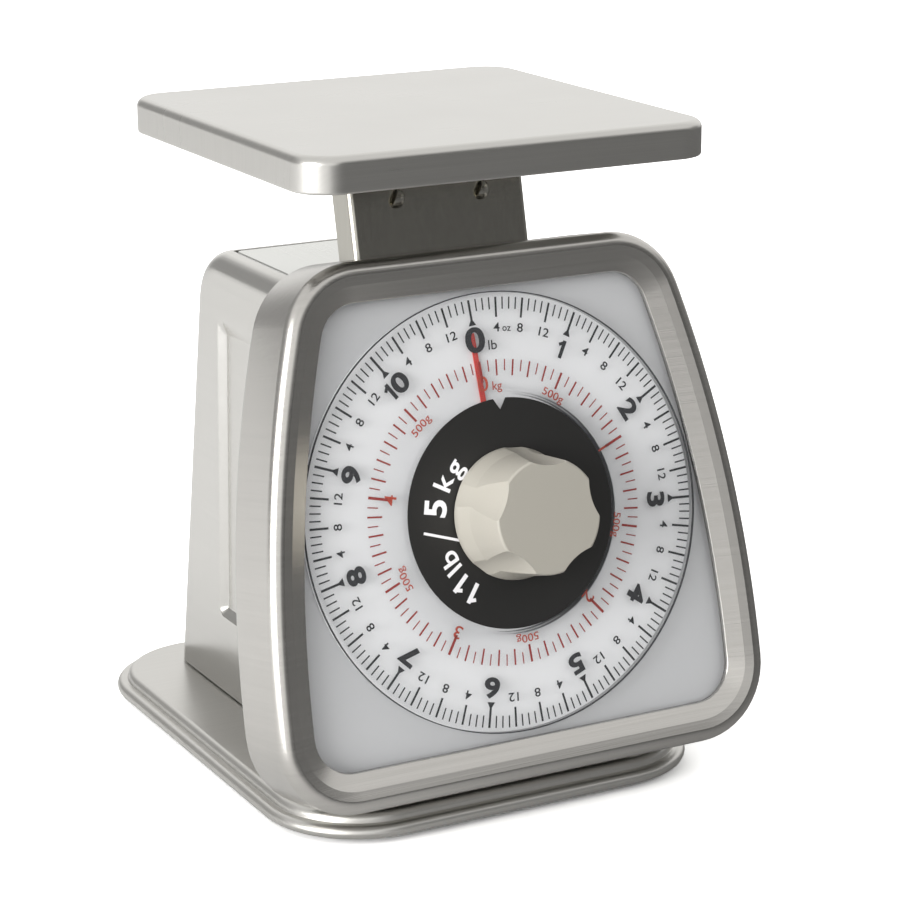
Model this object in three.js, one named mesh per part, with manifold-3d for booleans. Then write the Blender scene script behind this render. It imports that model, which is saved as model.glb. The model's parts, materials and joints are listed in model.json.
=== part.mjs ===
// Mechanical kitchen scale: a spring balance with a rotating tare dial in a stainless housing.
// Millimetres, +Z up, the front of the scale towards -Y, the origin under its middle on the table.
import * as THREE from "three";
import { mergeVertices } from "three/addons/utils/BufferGeometryUtils.js";
import Module from "manifold-3d";

// ---- Driving dimensions ----
const clearance = 0.3; // between pieces that touch
const sheet = 1.2; // steel sheet of the housing, pan, platform and post

// The head leans back, and its face carries the dial.
const lean = THREE.MathUtils.degToRad(12.8);
const dialCentreHeight = 106.3;
const dialSetback = 75.94; // dial centre in front of the origin
const dialRadius = 75;

// Outline of the face, seen along its own normal: bowed sides, flat top and bottom.
const faceHalfWidth = 94;
const faceTop = 90.3;
const faceBottom = -90.7;
const faceWidestAt = -62;
const sideBowRadius = 470;
const topCornerRadius = 27;
const bottomCornerRadius = 27;

// The bezel's section, as insets from the outline and heights along the face's normal.
const ridgeHeight = 5 + sheet;
const ridgeRadius = 4.3;
const ridgeFlat = 0.5;
const creaseInset = 8;
const creaseHeight = 4 + sheet;
const openingInset = 13.6;
const openingHeight = 1.4 + sheet; // its underside clears the lens
const bezelRear = -22.8;

// Layers of the dial, as heights along the face's normal.
const facePlateFront = -2.9;
const backingThickness = 0.5;
const pointerThickness = 0.5;
const dialDiscThickness = 0.8;
const lensThickness = 0.7;
const lensInset = 9.6;
const lensBossRadius = 41;
const lensBossHeight = 3.9;
const labelRadius = 39.1;
const labelThickness = 0.3;
const labelNotchDepth = 3.9;
const labelNotchHalfAngle = THREE.MathUtils.degToRad(4);

// Tare knob and its shaft.
const knobBaseRadius = 22.5;
const knobFaceRadius = 19.4;
const knobLength = 26;
const knobGripCount = 5;
const knobGripRadius = 20;
const knobGripDepth = 2.1; // at the knob's front, fading out towards its rear
const knobGripTilt = 11.6; // degrees
const knobGripTurn = 84; // degrees, of the first grip from the x axis
const tareShaftRadius = 3.7;

// Pointer, and the rack and pinion that turn it once for a full load.
const pointerLength = 61.7;
const pointerWidth = 1.95;
const pointerRest = THREE.MathUtils.degToRad(4.4); // the zero is set a little to the left
const arborRadius = 1.2;
const pinionPitchRadius = 2.4;
const pinionTeeth = 12;
const pinionWidth = 4;
const pinionMiddle = -35;

// Base plate.
const baseWidth = 163.4;
const baseDepth = 199.6;
const baseFront = -dialSetback - 13.7;
const baseCornerRadius = 36;
const baseTop = 10.5;
const baseUnderside = 2.5;
const beadRadius = 2.4;
const beadInset = 4.5;
const lipWidth = 3.4; // turned in under the bead
const crownRadius = 2.4;
const footRadius = 9;
const footInset = 30;

const postHalfWidth = 34; // the housing, its cover and the load linkage follow from it

// Rear housing, seen from the side.
const housingHalfWidth = postHalfWidth + 19;
const housingTop = 179.3;
const housingRearAtBase = -dialSetback + 166;
const housingRearSlope = 0.175; // how far the rear wall leans forward for each mm of height
const housingCrownRadius = 22;
const housingEdgeRadius = 8;
const recessDepth = 2.5;
const recessFront = -dialSetback + 65;
const recessRear = -dialSetback + 118;
const recessLow = 41;
const recessHigh = 156;
const coverHalfWidth = postHalfWidth + 11;
const rearScrewHeight = 130;
const rearScrewSpread = 30;

// Post and platform.
const postFront = -23.9;
const postDepth = 12.5;
const postLow = 36;
const lugSpacing = 32.8;
const lugHeight = 109.5;
const platformWidth = 152.4;
const platformDepth = 150.4;
const platformFront = -dialSetback - 9.2;
const platformTop = 235.1;
const platformSkirt = 12.3;
const platformCornerRadius = 13.5;
const platformEdgeRadius = 3;
const hemWidth = 1.6;
const hemHeight = 2.2;
const padHeight = 1.5;
const padRadius = 5;
const padInset = 9;
const bracketHalfDepth = 30;

// Load linkage, in the head's own frame: heights along the face and depths behind it.
const linkLength = 40;
const loadTravel = 2 * Math.PI * pinionPitchRadius;
const loadPinDepth = -34;
const upperPinHeight = 48;
const lowerPinHeight = -50;
const pinRadius = 2;
const strapThickness = 1.4;
const strapInner = postHalfWidth - sheet - strapThickness - 0.4; // its straps lie inside the post
const cheekInner = postHalfWidth + 3;
const frameRear = -80;
const frameTopEdge = 68;
const linkArmInner = strapInner - 6.5;
const linkArmThickness = 3;
const linkSlack = 1.2; // extra round the load pins, where the closed linkage is opened
const springOffset = 15;
const springDepth = -56;
const springRadius = 5;
const springWire = 1.5;
const springTurns = 10;
const dashpotDepth = -60;
const dashpotRadius = 8;

// ---- Solids ----
const wasm = await Module();
wasm.setup();

function solid(geometry) {
  const plain = geometry.clone();
  plain.deleteAttribute("normal");
  plain.deleteAttribute("uv");
  const merged = mergeVertices(plain, 1e-4);
  const index = merged.index.array;
  const kept = [];
  for (let i = 0; i < index.length; i += 3) {
    const [a, b, c] = [index[i], index[i + 1], index[i + 2]];
    if (a !== b && b !== c && c !== a) kept.push(a, b, c);
  }
  return new wasm.Manifold(
    new wasm.Mesh({
      numProp: 3,
      vertProperties: merged.attributes.position.array,
      triVerts: new Uint32Array(kept),
    }),
  );
}

function geometryOf(made) {
  const mesh = made.getMesh();
  const positions = new Float32Array(mesh.numVert * 3);
  for (let i = 0; i < mesh.numVert; i++) {
    positions.set(mesh.vertProperties.subarray(i * mesh.numProp, i * mesh.numProp + 3), i * 3);
  }
  const geometry = new THREE.BufferGeometry();
  geometry.setAttribute("position", new THREE.BufferAttribute(positions, 3));
  geometry.setIndex(new THREE.BufferAttribute(new Uint32Array(mesh.triVerts), 1));
  geometry.computeVertexNormals();
  return geometry;
}

function box(x0, x1, y0, y1, z0, z1) {
  const geometry = new THREE.BoxGeometry(x1 - x0, y1 - y0, z1 - z0);
  geometry.translate((x0 + x1) / 2, (y0 + y1) / 2, (z0 + z1) / 2);
  return solid(geometry);
}

// A shape drawn in the XY plane, from z0 to z1. Its rims may be rounded or chamfered inwards.
function prism(shape, z0, z1, rim = {}) {
  const { radius = 0, height = radius, steps = 2, curves = 5 } = rim;
  const geometry = new THREE.ExtrudeGeometry(shape, {
    depth: z1 - z0 - 2 * height,
    bevelEnabled: radius > 0,
    bevelSize: radius,
    bevelThickness: height,
    bevelOffset: -radius,
    bevelSegments: steps,
    curveSegments: curves,
  });
  geometry.translate(0, 0, z0 + height);
  return solid(geometry);
}

// A turned piece about Z: radius and height pairs that start and end on the axis or close on themselves.
function turned(profile, sides = 24) {
  const points = profile.map(([radius, height]) => new THREE.Vector2(radius, height));
  const geometry = new THREE.LatheGeometry(points, sides);
  geometry.rotateX(Math.PI / 2);
  const made = solid(geometry);
  return made.volume() < 0 ? solid(flipped(geometry)) : made;
}

function flipped(geometry) {
  const copy = geometry.clone();
  const index = copy.index.array;
  for (let i = 0; i < index.length; i += 3) {
    [index[i + 1], index[i + 2]] = [index[i + 2], index[i + 1]];
  }
  return copy;
}

function rod(radius, z0, z1, sides = 16) {
  return turned([[0, z0], [radius, z0], [radius, z1], [0, z1]], sides);
}

function ring(inner, outer, z0, z1, sides = 24) {
  return turned([[inner, z0], [outer, z0], [outer, z1], [inner, z1], [inner, z0]], sides);
}

// A rod along X, for pins and their holes.
function crossRod(radius, halfLength, y, z, sides = 14) {
  return rod(radius, -halfLength, halfLength, sides).rotate([0, 90, 0]).translate([0, y, z]);
}

// A rod along Y, which is up the face in the head's frame.
function uprightRod(radius, x, y0, y1, z, sides = 16) {
  return rod(radius, 0, y1 - y0, sides).rotate([-90, 0, 0]).translate([x, y0, z]);
}

function mirrored(made) {
  return made.mirror([1, 0, 0]);
}

// ---- Frames ----
const scale = new THREE.Group();
const head = new THREE.Group(); // x across, y up the face, z out of the face
head.position.set(0, -dialSetback, dialCentreHeight);
head.rotation.x = Math.PI / 2 - lean;
head.updateMatrix();
scale.add(head);

const leanSin = Math.sin(lean);
const leanCos = Math.cos(lean);

// A solid made in the scale's frame, seen from the head's frame, and the other way round.
function intoHead(made) {
  const matrix = head.matrix.clone().invert();
  return made.transform(matrix.elements);
}

function outOfHead(made) {
  return made.transform(head.matrix.elements);
}

const finishes = {
  brushedSteel: { color: 0xb9b7b1, roughness: 0.38, metalness: 1 },
  brightSteel: { color: 0xcfcfcd, roughness: 0.22, metalness: 1 },
  zincSteel: { color: 0xa9aaa6, roughness: 0.45, metalness: 0.9 },
  brass: { color: 0xb9974a, roughness: 0.35, metalness: 1 },
  faceGrey: { color: 0xb4b8bf, roughness: 0.5, metalness: 0 },
  dialWhite: { color: 0xe9ebef, roughness: 0.5, metalness: 0 },
  clear: { color: 0xf4f8fb, roughness: 0.05, metalness: 0, transparent: true, opacity: 0.3 },
  labelBlack: { color: 0x2b2a29, roughness: 0.4, metalness: 0 },
  knobIvory: { color: 0xcdc8bd, roughness: 0.42, metalness: 0 },
  pointerRed: { color: 0xc8322a, roughness: 0.4, metalness: 0 },
  rubber: { color: 0x24231f, roughness: 0.9, metalness: 0 },
  nylon: { color: 0xe2dfd6, roughness: 0.5, metalness: 0 },
};

function place(parent, name, made, finish) {
  const mesh = new THREE.Mesh(geometryOf(made), new THREE.MeshStandardMaterial(finishes[finish]));
  mesh.name = name;
  parent.add(mesh);
}

// ---- Outlines ----

// The face's outline, drawn in by an inset.
function faceOutline(inset) {
  const bowX = faceHalfWidth - sideBowRadius;
  const top = topCornerRadius - inset;
  const bottom = bottomCornerRadius - inset;
  const topY = faceTop - topCornerRadius;
  const bottomY = faceBottom + bottomCornerRadius;
  const topReach = sideBowRadius - topCornerRadius;
  const bottomReach = sideBowRadius - bottomCornerRadius;
  const topX = bowX + Math.sqrt(topReach ** 2 - (topY - faceWidestAt) ** 2);
  const bottomX = bowX + Math.sqrt(bottomReach ** 2 - (bottomY - faceWidestAt) ** 2);
  const topAngle = Math.asin((topY - faceWidestAt) / topReach);
  const bottomAngle = Math.asin((bottomY - faceWidestAt) / bottomReach);
  const side = sideBowRadius - inset;
  const shape = new THREE.Shape();
  shape.absarc(bottomX, bottomY, bottom, -Math.PI / 2, bottomAngle, false);
  shape.absarc(bowX, faceWidestAt, side, bottomAngle, topAngle, false);
  shape.absarc(topX, topY, top, topAngle, Math.PI / 2, false);
  shape.absarc(-topX, topY, top, Math.PI / 2, Math.PI - topAngle, false);
  shape.absarc(-bowX, faceWidestAt, side, Math.PI - topAngle, Math.PI - bottomAngle, false);
  shape.absarc(-bottomX, bottomY, bottom, Math.PI - bottomAngle, Math.PI * 1.5, false);
  return shape;
}

function roundedRectangle(x0, x1, y0, y1, radius) {
  const shape = new THREE.Shape();
  shape.absarc(x1 - radius, y0 + radius, radius, -Math.PI / 2, 0, false);
  shape.absarc(x1 - radius, y1 - radius, radius, 0, Math.PI / 2, false);
  shape.absarc(x0 + radius, y1 - radius, radius, Math.PI / 2, Math.PI, false);
  shape.absarc(x0 + radius, y0 + radius, radius, Math.PI, Math.PI * 1.5, false);
  return shape;
}

function polygon(points) {
  return new THREE.Shape(points.map(([x, y]) => new THREE.Vector2(x, y)));
}

// ---- Base ----
const baseRear = baseFront + baseDepth;

function baseBlock(inset) {
  const half = baseWidth / 2;
  const bead = roundedRectangle(
    -half + inset, half - inset, baseFront + inset, baseRear - inset, baseCornerRadius - inset,
  );
  const step = beadInset + inset;
  const crown = roundedRectangle(
    -half + step, half - step, baseFront + step, baseRear - step, baseCornerRadius - step,
  );
  const low = baseUnderside + inset;
  const beadTop = baseUnderside + 2 * beadRadius - inset;
  const beadSolid = prism(bead, low, beadTop, { radius: beadRadius - inset });
  const crownSolid = prism(crown, low, baseTop - inset, { radius: crownRadius });
  return beadSolid.add(crownSolid);
}

function makeBase() {
  const half = baseWidth / 2 - lipWidth;
  const well = baseBlock(sheet);
  const mouth = prism(
    roundedRectangle(
      -half, half, baseFront + lipWidth, baseRear - lipWidth, baseCornerRadius - lipWidth,
    ),
    baseUnderside - 1, baseUnderside + beadRadius,
  );
  place(scale, "base_plate", baseBlock(0).subtract(well).subtract(mouth), "brushedSteel");
  let count = 0;
  for (const x of [-1, 1]) {
    for (const y of [baseFront + footInset, baseRear - footInset]) {
      count += 1;
      const foot = turned([
        [0, 0], [footRadius - 1.5, 0], [footRadius, 1.5],
        [footRadius, baseTop - sheet - clearance], [0, baseTop - sheet - clearance],
      ]);
      const across = baseWidth / 2 - footInset;
      place(scale, "rubber_foot_" + count, foot.translate([x * across, y, 0]), "rubber");
    }
  }
}

// ---- Rear housing ----

// The housing's side profile in (y, z), drawn in by an inset. It runs in under the face and is cut there.
function housingProfile(inset) {
  const slopeAngle = Math.atan(housingRearSlope);
  const top = housingTop - inset;
  const radius = housingCrownRadius - inset;
  const wallShift = inset / Math.cos(slopeAngle);
  const rearAt = (z) => housingRearAtBase - (z - baseTop) * housingRearSlope - wallShift;
  const centreZ = top - radius;
  const centreY = rearAt(centreZ) - radius / Math.cos(slopeAngle);
  const low = baseTop - 20;
  const shape = new THREE.Shape();
  shape.moveTo(-dialSetback - 40, low);
  shape.lineTo(rearAt(low), low);
  shape.absarc(centreY, centreZ, radius, slopeAngle, Math.PI / 2, false);
  shape.lineTo(-dialSetback - 40, top);
  return shape;
}

// Stands a (y, z) profile across X between two sides, with rounded edges.
function acrossX(shape, halfWidth, rim) {
  return prism(shape, -halfWidth, halfWidth, rim).rotate([90, 0, 0]).rotate([0, 0, 90]);
}

function recessCutter(grow) {
  const shape = polygon([
    [recessFront - grow, recessLow - grow], [recessRear + 5 + grow, recessLow - grow],
    [recessRear + grow, recessHigh + grow], [recessFront - grow, recessHigh + grow],
  ]);
  const reach = 10;
  const slab = prism(shape, 0, recessDepth + reach, { radius: 3.5, height: recessDepth, steps: 1 });
  return slab.rotate([90, 0, 0]).rotate([0, 0, 90])
    .translate([housingHalfWidth - recessDepth - grow, 0, 0]);
}

// Everything in front of a plane at a height along the face's normal, seen from the scale's frame.
function aheadOf(height) {
  return outOfHead(box(-150, 150, -250, 250, height, height + 200));
}

const housingFloor = baseTop + clearance;
const panBackRear = bezelRear;
const housingJoint = panBackRear - clearance;
const crownStart = crownLine();

// Where the flat top ends and the rear crown begins.
function crownLine() {
  const slopeAngle = Math.atan(housingRearSlope);
  const centreZ = housingTop - housingCrownRadius;
  const rear = housingRearAtBase - (centreZ - baseTop) * housingRearSlope;
  return rear - housingCrownRadius / Math.cos(slopeAngle);
}

function makeHousing() {
  const rim = { radius: housingEdgeRadius, steps: 3, curves: 6 };
  const innerRim = { radius: housingEdgeRadius - sheet, curves: 6 };
  const recess = recessCutter(0);
  const bulge = recessCutter(sheet);
  const outer = acrossX(housingProfile(0), housingHalfWidth, rim)
    .subtract(recess).subtract(mirrored(recess));
  const inner = acrossX(housingProfile(sheet), housingHalfWidth - sheet, innerRim)
    .subtract(bulge).subtract(mirrored(bulge));
  const ahead = aheadOf(housingJoint);
  const below = box(-100, 100, -200, 200, -50, housingFloor);
  const hatch = coverHalfWidth + clearance;
  const opening = box(-hatch, hatch, -200, crownStart + clearance, housingTop - 4, housingTop + 5);
  const shell = outer.subtract(inner).subtract(ahead).subtract(below).subtract(opening);
  const ledgeTop = housingTop - sheet - clearance;
  const ledges = box(-hatch - 4, hatch + 4, -60, crownStart + 3, ledgeTop - sheet, ledgeTop)
    .subtract(box(-hatch + 4, hatch - 4, -200, crownStart - 4, 0, 300))
    .subtract(ahead);
  place(scale, "rear_housing", shell.add(ledges), "brushedSteel");

  const slotHalf = postHalfWidth + 1;
  const slotRear = postFront - postDepth - 1;
  const slot = outOfHead(box(-slotHalf, slotHalf, -100, 150, slotRear, housingJoint + 20));
  const cover = box(-coverHalfWidth, coverHalfWidth, -80, crownStart, housingTop - sheet, housingTop)
    .subtract(ahead)
    .subtract(slot);
  place(scale, "top_cover", cover, "brushedSteel");

  // Two screws in the rear wall hold the mechanism's frame.
  const slopeAngle = THREE.MathUtils.radToDeg(Math.atan(housingRearSlope));
  const wallY = housingRearAtBase - (rearScrewHeight - baseTop) * housingRearSlope;
  for (const [name, side] of [["rear_screw_left", -1], ["rear_screw_right", 1]]) {
    const screw = panHead(3, 1.6)
      .translate([0, 0, clearance])
      .rotate([slopeAngle - 90, 0, 0])
      .translate([side * rearScrewSpread, wallY, rearScrewHeight]);
    place(scale, name, screw, "zincSteel");
  }
}

// A low pan head with a cross slot, sitting on z = 0.
function panHead(radius, height) {
  const top = height - 0.5;
  const body = turned([[0, 0], [radius, 0], [radius, top * 0.5], [radius * 0.7, height], [0, height]], 16);
  const bar = box(-radius * 0.6, radius * 0.6, -0.35, 0.35, top, height + 1);
  return body.subtract(bar).subtract(bar.rotate([0, 0, 90]));
}

// ---- Head: bezel, pan and face ----

// Everything above a sloping surface that runs round the face through two insets and heights.
function aboveSlope(outerInset, outerHeight, innerInset, innerHeight) {
  const spread = 1.5;
  const fall = (outerHeight - innerHeight) / (innerInset - outerInset);
  const start = outerInset - spread;
  const startHeight = outerHeight + spread * fall;
  const end = innerInset + spread;
  const endHeight = innerHeight - spread * fall;
  return prism(faceOutline(start), endHeight, ridgeHeight + 15, {
    radius: end - start, height: startHeight - endHeight, steps: 1,
  });
}

// The space in front of the bezel's band and bevel. A drop moves it towards the back.
function bezelDish(drop) {
  const band = aboveSlope(ridgeRadius + ridgeFlat, ridgeHeight - drop, creaseInset, creaseHeight - drop);
  const bevel = aboveSlope(creaseInset, creaseHeight - drop, openingInset, openingHeight - drop);
  return band.add(bevel);
}

function makeBezel() {
  const rearReach = 20;
  const outer = prism(faceOutline(0), bezelRear - rearReach, ridgeHeight, { radius: ridgeRadius });
  const hollow = prism(faceOutline(sheet), bezelRear - rearReach, ridgeHeight - sheet, {
    radius: ridgeRadius - sheet,
  });
  const behind = box(-150, 150, -150, 150, bezelRear - 50, bezelRear);
  const opening = prism(faceOutline(openingInset), openingHeight - 5, ridgeHeight + 5);
  const bezel = outer
    .subtract(bezelDish(0))
    .subtract(hollow.subtract(bezelDish(sheet)))
    .subtract(opening)
    .subtract(behind);
  place(head, "front_bezel", bezel, "brushedSteel");
}

function makePan() {
  const inset = sheet + clearance;
  const back = prism(faceOutline(inset), panBackRear, panBackRear + sheet)
    .subtract(rod(8, panBackRear - 5, panBackRear + 5));
  place(head, "pan_back", back, "zincSteel");
  const upper = housingHalfWidth + 9; // the screws stay outside the housing
  const lower = housingHalfWidth + 23;
  const spots = [[-upper, 62], [upper, 62], [-lower, -66], [lower, -66]];
  spots.forEach(([x, y], i) => {
    const screw = panHead(3.2, 1.8).rotate([180, 0, 0]).translate([x, y, panBackRear - clearance]);
    place(head, "pan_screw_" + (i + 1), screw, "zincSteel");
  });
  const face = prism(faceOutline(inset), facePlateFront - 0.9, facePlateFront)
    .subtract(rod(5, facePlateFront - 3, facePlateFront + 3));
  place(head, "face_plate", face, "faceGrey");
}

const backingFront = facePlateFront + clearance + backingThickness;
const pointerRear = backingFront + clearance + 0.1;
const pointerFront = pointerRear + pointerThickness;
const dialRear = pointerFront + clearance + 0.4;
const dialFront = dialRear + dialDiscThickness;
const lensRear = dialFront + clearance;
const lensFront = lensRear + lensThickness;

function makeDial() {
  const backing = ring(4, dialRadius - 0.4, backingFront - backingThickness, backingFront, 48);
  place(head, "dial_backing", backing, "dialWhite");

  const disc = ring(5 + clearance, dialRadius, dialRear, dialFront, 48);
  place(head, "dial_disc", disc, "clear");
  const bore = tareShaftRadius + clearance;
  const hub = turned([
    [bore, dialRear], [5, dialRear], [5, lensRear], [11, lensRear],
    [11, lensRear + 1.2], [7, lensRear + 1.2], [7, lensBossHeight - 1.2], [bore, lensBossHeight - 1.2],
    [bore, dialRear],
  ]);
  place(head, "dial_hub", hub, "nylon");

  const bossWall = 0.8;
  const bossInner = lensBossHeight - bossWall;
  const bushRadius = tareShaftRadius + 2.3;
  const boss = turned([
    [bushRadius + clearance, bossInner], [lensBossRadius - 1, bossInner], [lensBossRadius - 1, lensRear],
    [lensBossRadius + 1, lensRear], [lensBossRadius + 1, lensFront], [lensBossRadius, lensFront],
    [lensBossRadius, lensBossHeight], [bushRadius + clearance, lensBossHeight],
    [bushRadius + clearance, bossInner],
  ], 36);
  const pane = prism(faceOutline(lensInset), lensRear, lensFront)
    .subtract(rod(lensBossRadius - 0.5, lensRear - 3, lensFront + 3, 36));
  place(head, "lens", pane.add(boss), "clear");

  const labelRear = lensBossHeight + clearance;
  const labelFront = labelRear + labelThickness;
  const notchHalf = labelRadius * Math.sin(labelNotchHalfAngle);
  const notch = prism(
    polygon([[0, labelRadius - labelNotchDepth], [notchHalf * 2, labelRadius + labelNotchDepth],
      [-notchHalf * 2, labelRadius + labelNotchDepth]]),
    labelRear - 1, labelFront + 1,
  );
  const label = ring(bushRadius + 2 * clearance, labelRadius, labelRear, labelFront, 48).subtract(notch);
  place(head, "center_label", label, "labelBlack");

  const bush = ring(bore, bushRadius, bossInner - 0.1, labelFront + 0.1, 20);
  place(head, "lens_bush", bush, "brass");
  makeKnob(labelFront + 0.5);
}

function makeKnob(rear) {
  const front = rear + knobLength;
  const flare = 4;
  const body = turned([
    [0, rear], [knobBaseRadius - 0.8, rear], [knobBaseRadius, rear + 0.8], [knobBaseRadius, rear + 2],
    [knobFaceRadius + 1.2, rear + flare + 2], [knobFaceRadius, front - 2],
    [knobFaceRadius - 0.6, front - 0.6], [knobFaceRadius - 2, front], [0, front],
  ], 36);
  const reach = knobFaceRadius + knobGripRadius - knobGripDepth;
  let knob = body;
  for (let i = 0; i < knobGripCount; i++) {
    const scoop = rod(knobGripRadius, -knobLength, knobGripRadius, 32)
      .rotate([0, -knobGripTilt, 0])
      .translate([reach, 0, front])
      .rotate([0, 0, knobGripTurn + (i * 360) / knobGripCount]);
    knob = knob.subtract(scoop);
  }
  const boreEnd = rear + 20;
  knob = knob.subtract(rod(tareShaftRadius + clearance, rear - 1, boreEnd));
  place(head, "tare_knob", knob, "knobIvory");
  place(head, "tare_shaft", rod(tareShaftRadius, dialRear + 0.1, boreEnd - clearance), "brass");
}

// ---- Pointer drive ----
function makePointer() {
  const hubRadius = 3;
  const bore = arborRadius + clearance;
  const half = pointerWidth / 2;
  const tail = 18;
  const blade = prism(
    polygon([[-half, -tail], [half, -tail], [half, pointerLength - 3], [0, pointerLength],
      [-half, pointerLength - 3]]),
    pointerRear, pointerFront,
  );
  const hub = rod(hubRadius, facePlateFront - 2, pointerFront);
  const pointer = blade.add(hub).subtract(rod(bore, facePlateFront - 3, pointerFront + 1));
  place(head, "pointer", pointer.rotate([0, 0, THREE.MathUtils.radToDeg(pointerRest)]), "pointerRed");
  place(head, "pointer_arbor", rod(arborRadius, bracketRear - 2.5, pointerFront - 0.2, 12), "brightSteel");

  const outline = [];
  const addendum = 0.32;
  const dedendum = 0.44;
  const toothStep = (2 * Math.PI) / pinionTeeth;
  for (let i = 0; i < pinionTeeth; i++) {
    const middle = (i + 0.5) * toothStep;
    for (const [offset, radius] of [
      [-0.27, pinionPitchRadius - dedendum], [-0.11, pinionPitchRadius + addendum],
      [0.11, pinionPitchRadius + addendum], [0.27, pinionPitchRadius - dedendum],
    ]) {
      const angle = middle + offset * toothStep;
      outline.push([radius * Math.cos(angle), radius * Math.sin(angle)]);
    }
  }
  const low = pinionMiddle - pinionWidth / 2;
  const pinion = prism(polygon(outline), low, low + pinionWidth)
    .subtract(rod(bore, low - 1, low + pinionWidth + 1, 12));
  place(head, "pinion", pinion, "brass");

  const pitch = toothStep * pinionPitchRadius;
  const teethAbove = Math.ceil(loadTravel / pitch) + 3;
  const rackLow = -4 * pitch;
  const rackBack = pinionPitchRadius + 3;
  const edge = [[rackBack, rackTop], [rackBack, rackLow]];
  for (let i = -3; i <= teethAbove; i++) {
    edge.push([pinionPitchRadius + dedendum, (i - 0.26) * pitch]);
    edge.push([pinionPitchRadius - addendum, (i - 0.1) * pitch]);
    edge.push([pinionPitchRadius - addendum, (i + 0.1) * pitch]);
    edge.push([pinionPitchRadius + dedendum, (i + 0.26) * pitch]);
  }
  edge.splice(2, 0, [pinionPitchRadius + dedendum, rackLow]);
  edge.push([pinionPitchRadius + dedendum, rackTop]);
  const rack = prism(polygon(edge.reverse()), low + 0.2, low + pinionWidth - 0.2);
  place(head, "rack", rack, "brass");
  const guideRear = bracketRear + bracketSheet + clearance;
  const guide = box(rackBack + 0.4, rackBack + 4, -5, 5, guideRear, low + pinionWidth);
  place(head, "rack_guide", guide, "nylon");
}

const bracketSheet = 1.2;
const bracketFront = housingJoint - clearance;
const bracketRear = -45.2;
const armHeight = upperPinHeight - 12;
const rackTop = armHeight - clearance;

function makeMovementBracket() {
  const half = 22;
  const low = -30;
  const high = 16;
  const bushHole = 3;
  let bracket = box(-half, half, low, high, bracketRear, bracketFront)
    .subtract(box(-half - 1, half + 1, low + bracketSheet, high + 1,
      bracketRear + bracketSheet, bracketFront - bracketSheet));
  bracket = bracket.subtract(rod(bushHole + clearance, bracketRear - 1, bracketFront + 1));
  place(head, "movement_bracket", bracket, "zincSteel");
  const bore = arborRadius + clearance;
  place(head, "front_bush", ring(bore, bushHole, bracketFront - 2.4, bracketFront + 0.6, 16), "brass");
  place(head, "rear_bush", ring(bore, bushHole, bracketRear - 0.6, bracketRear + 2.4, 16), "brass");
}

// ---- Load linkage ----
const linkRise = loadTravel / 2; // the links start this far up and end as far down
const linkReach = Math.sqrt(linkLength ** 2 - linkRise ** 2);
const rearPinDepth = loadPinDepth - linkReach;
const linkAngle = THREE.MathUtils.radToDeg(Math.asin(linkRise / linkLength));

function makeLink(name, pinHeight) {
  const armHalf = 4.2;
  const front = linkLength + 4.5;
  const outerHalf = linkArmInner + linkArmThickness;
  // Drawn level with its rear pivot at the origin, the load end towards +z.
  const arm = box(linkArmInner, outerHalf, -armHalf, armHalf, -4.5, front);
  const tie = box(-outerHalf, outerHalf, -armHalf, armHalf, 4, 8);
  const made = arm.add(mirrored(arm)).add(tie)
    .subtract(crossRod(pinRadius + clearance, 50, 0, 0))
    .subtract(crossRod(pinRadius + linkSlack, 50, 0, linkLength))
    .rotate([-linkAngle, 0, 0])
    .translate([0, pinHeight - linkRise, rearPinDepth]);
  place(head, name, made, "zincSteel");
}

function makeLinkage() {
  makeLink("upper_link", upperPinHeight);
  makeLink("lower_link", lowerPinHeight);
  const strapOuter = strapInner + strapThickness;
  const rearPinHalf = cheekInner + sheet + 2;
  for (const [level, height] of [["upper", upperPinHeight], ["lower", lowerPinHeight]]) {
    const loadPin = crossRod(pinRadius, strapOuter, height, loadPinDepth);
    place(head, level + "_load_pin", loadPin, "brightSteel");
    const framePin = crossRod(pinRadius, rearPinHalf, height - linkRise, rearPinDepth);
    place(head, level + "_frame_pin", framePin, "brightSteel");
  }

  const strapFront = postFront - sheet - 1.4;
  const strapRear = loadPinDepth - 4;
  const footHeight = lowerPinHeight - 10;
  const strap = box(strapInner, strapOuter, footHeight, 70, strapRear, strapFront);
  const web = box(-strapOuter, strapOuter, armHeight, 62, strapFront - strapThickness, strapFront);
  const foot = box(-strapOuter, strapOuter, footHeight, footHeight + strapThickness, strapRear, strapFront);
  const tongueHalf = springOffset + springRadius;
  const tongue = box(-tongueHalf, tongueHalf, footHeight, footHeight + strapThickness,
    springDepth - springRadius, strapRear + 1);
  const arm = box(-8, 8, armHeight, armHeight + 1.5, dashpotDepth - 4, strapFront);
  const loadFrame = strap.add(mirrored(strap)).add(web).add(foot).add(tongue).add(arm)
    .subtract(crossRod(pinRadius + clearance, 50, upperPinHeight, loadPinDepth))
    .subtract(crossRod(pinRadius + clearance, 50, lowerPinHeight, loadPinDepth));
  place(head, "load_frame", loadFrame, "zincSteel");
  makeSprings(footHeight + strapThickness);
  makeDashpot();
}

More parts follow.
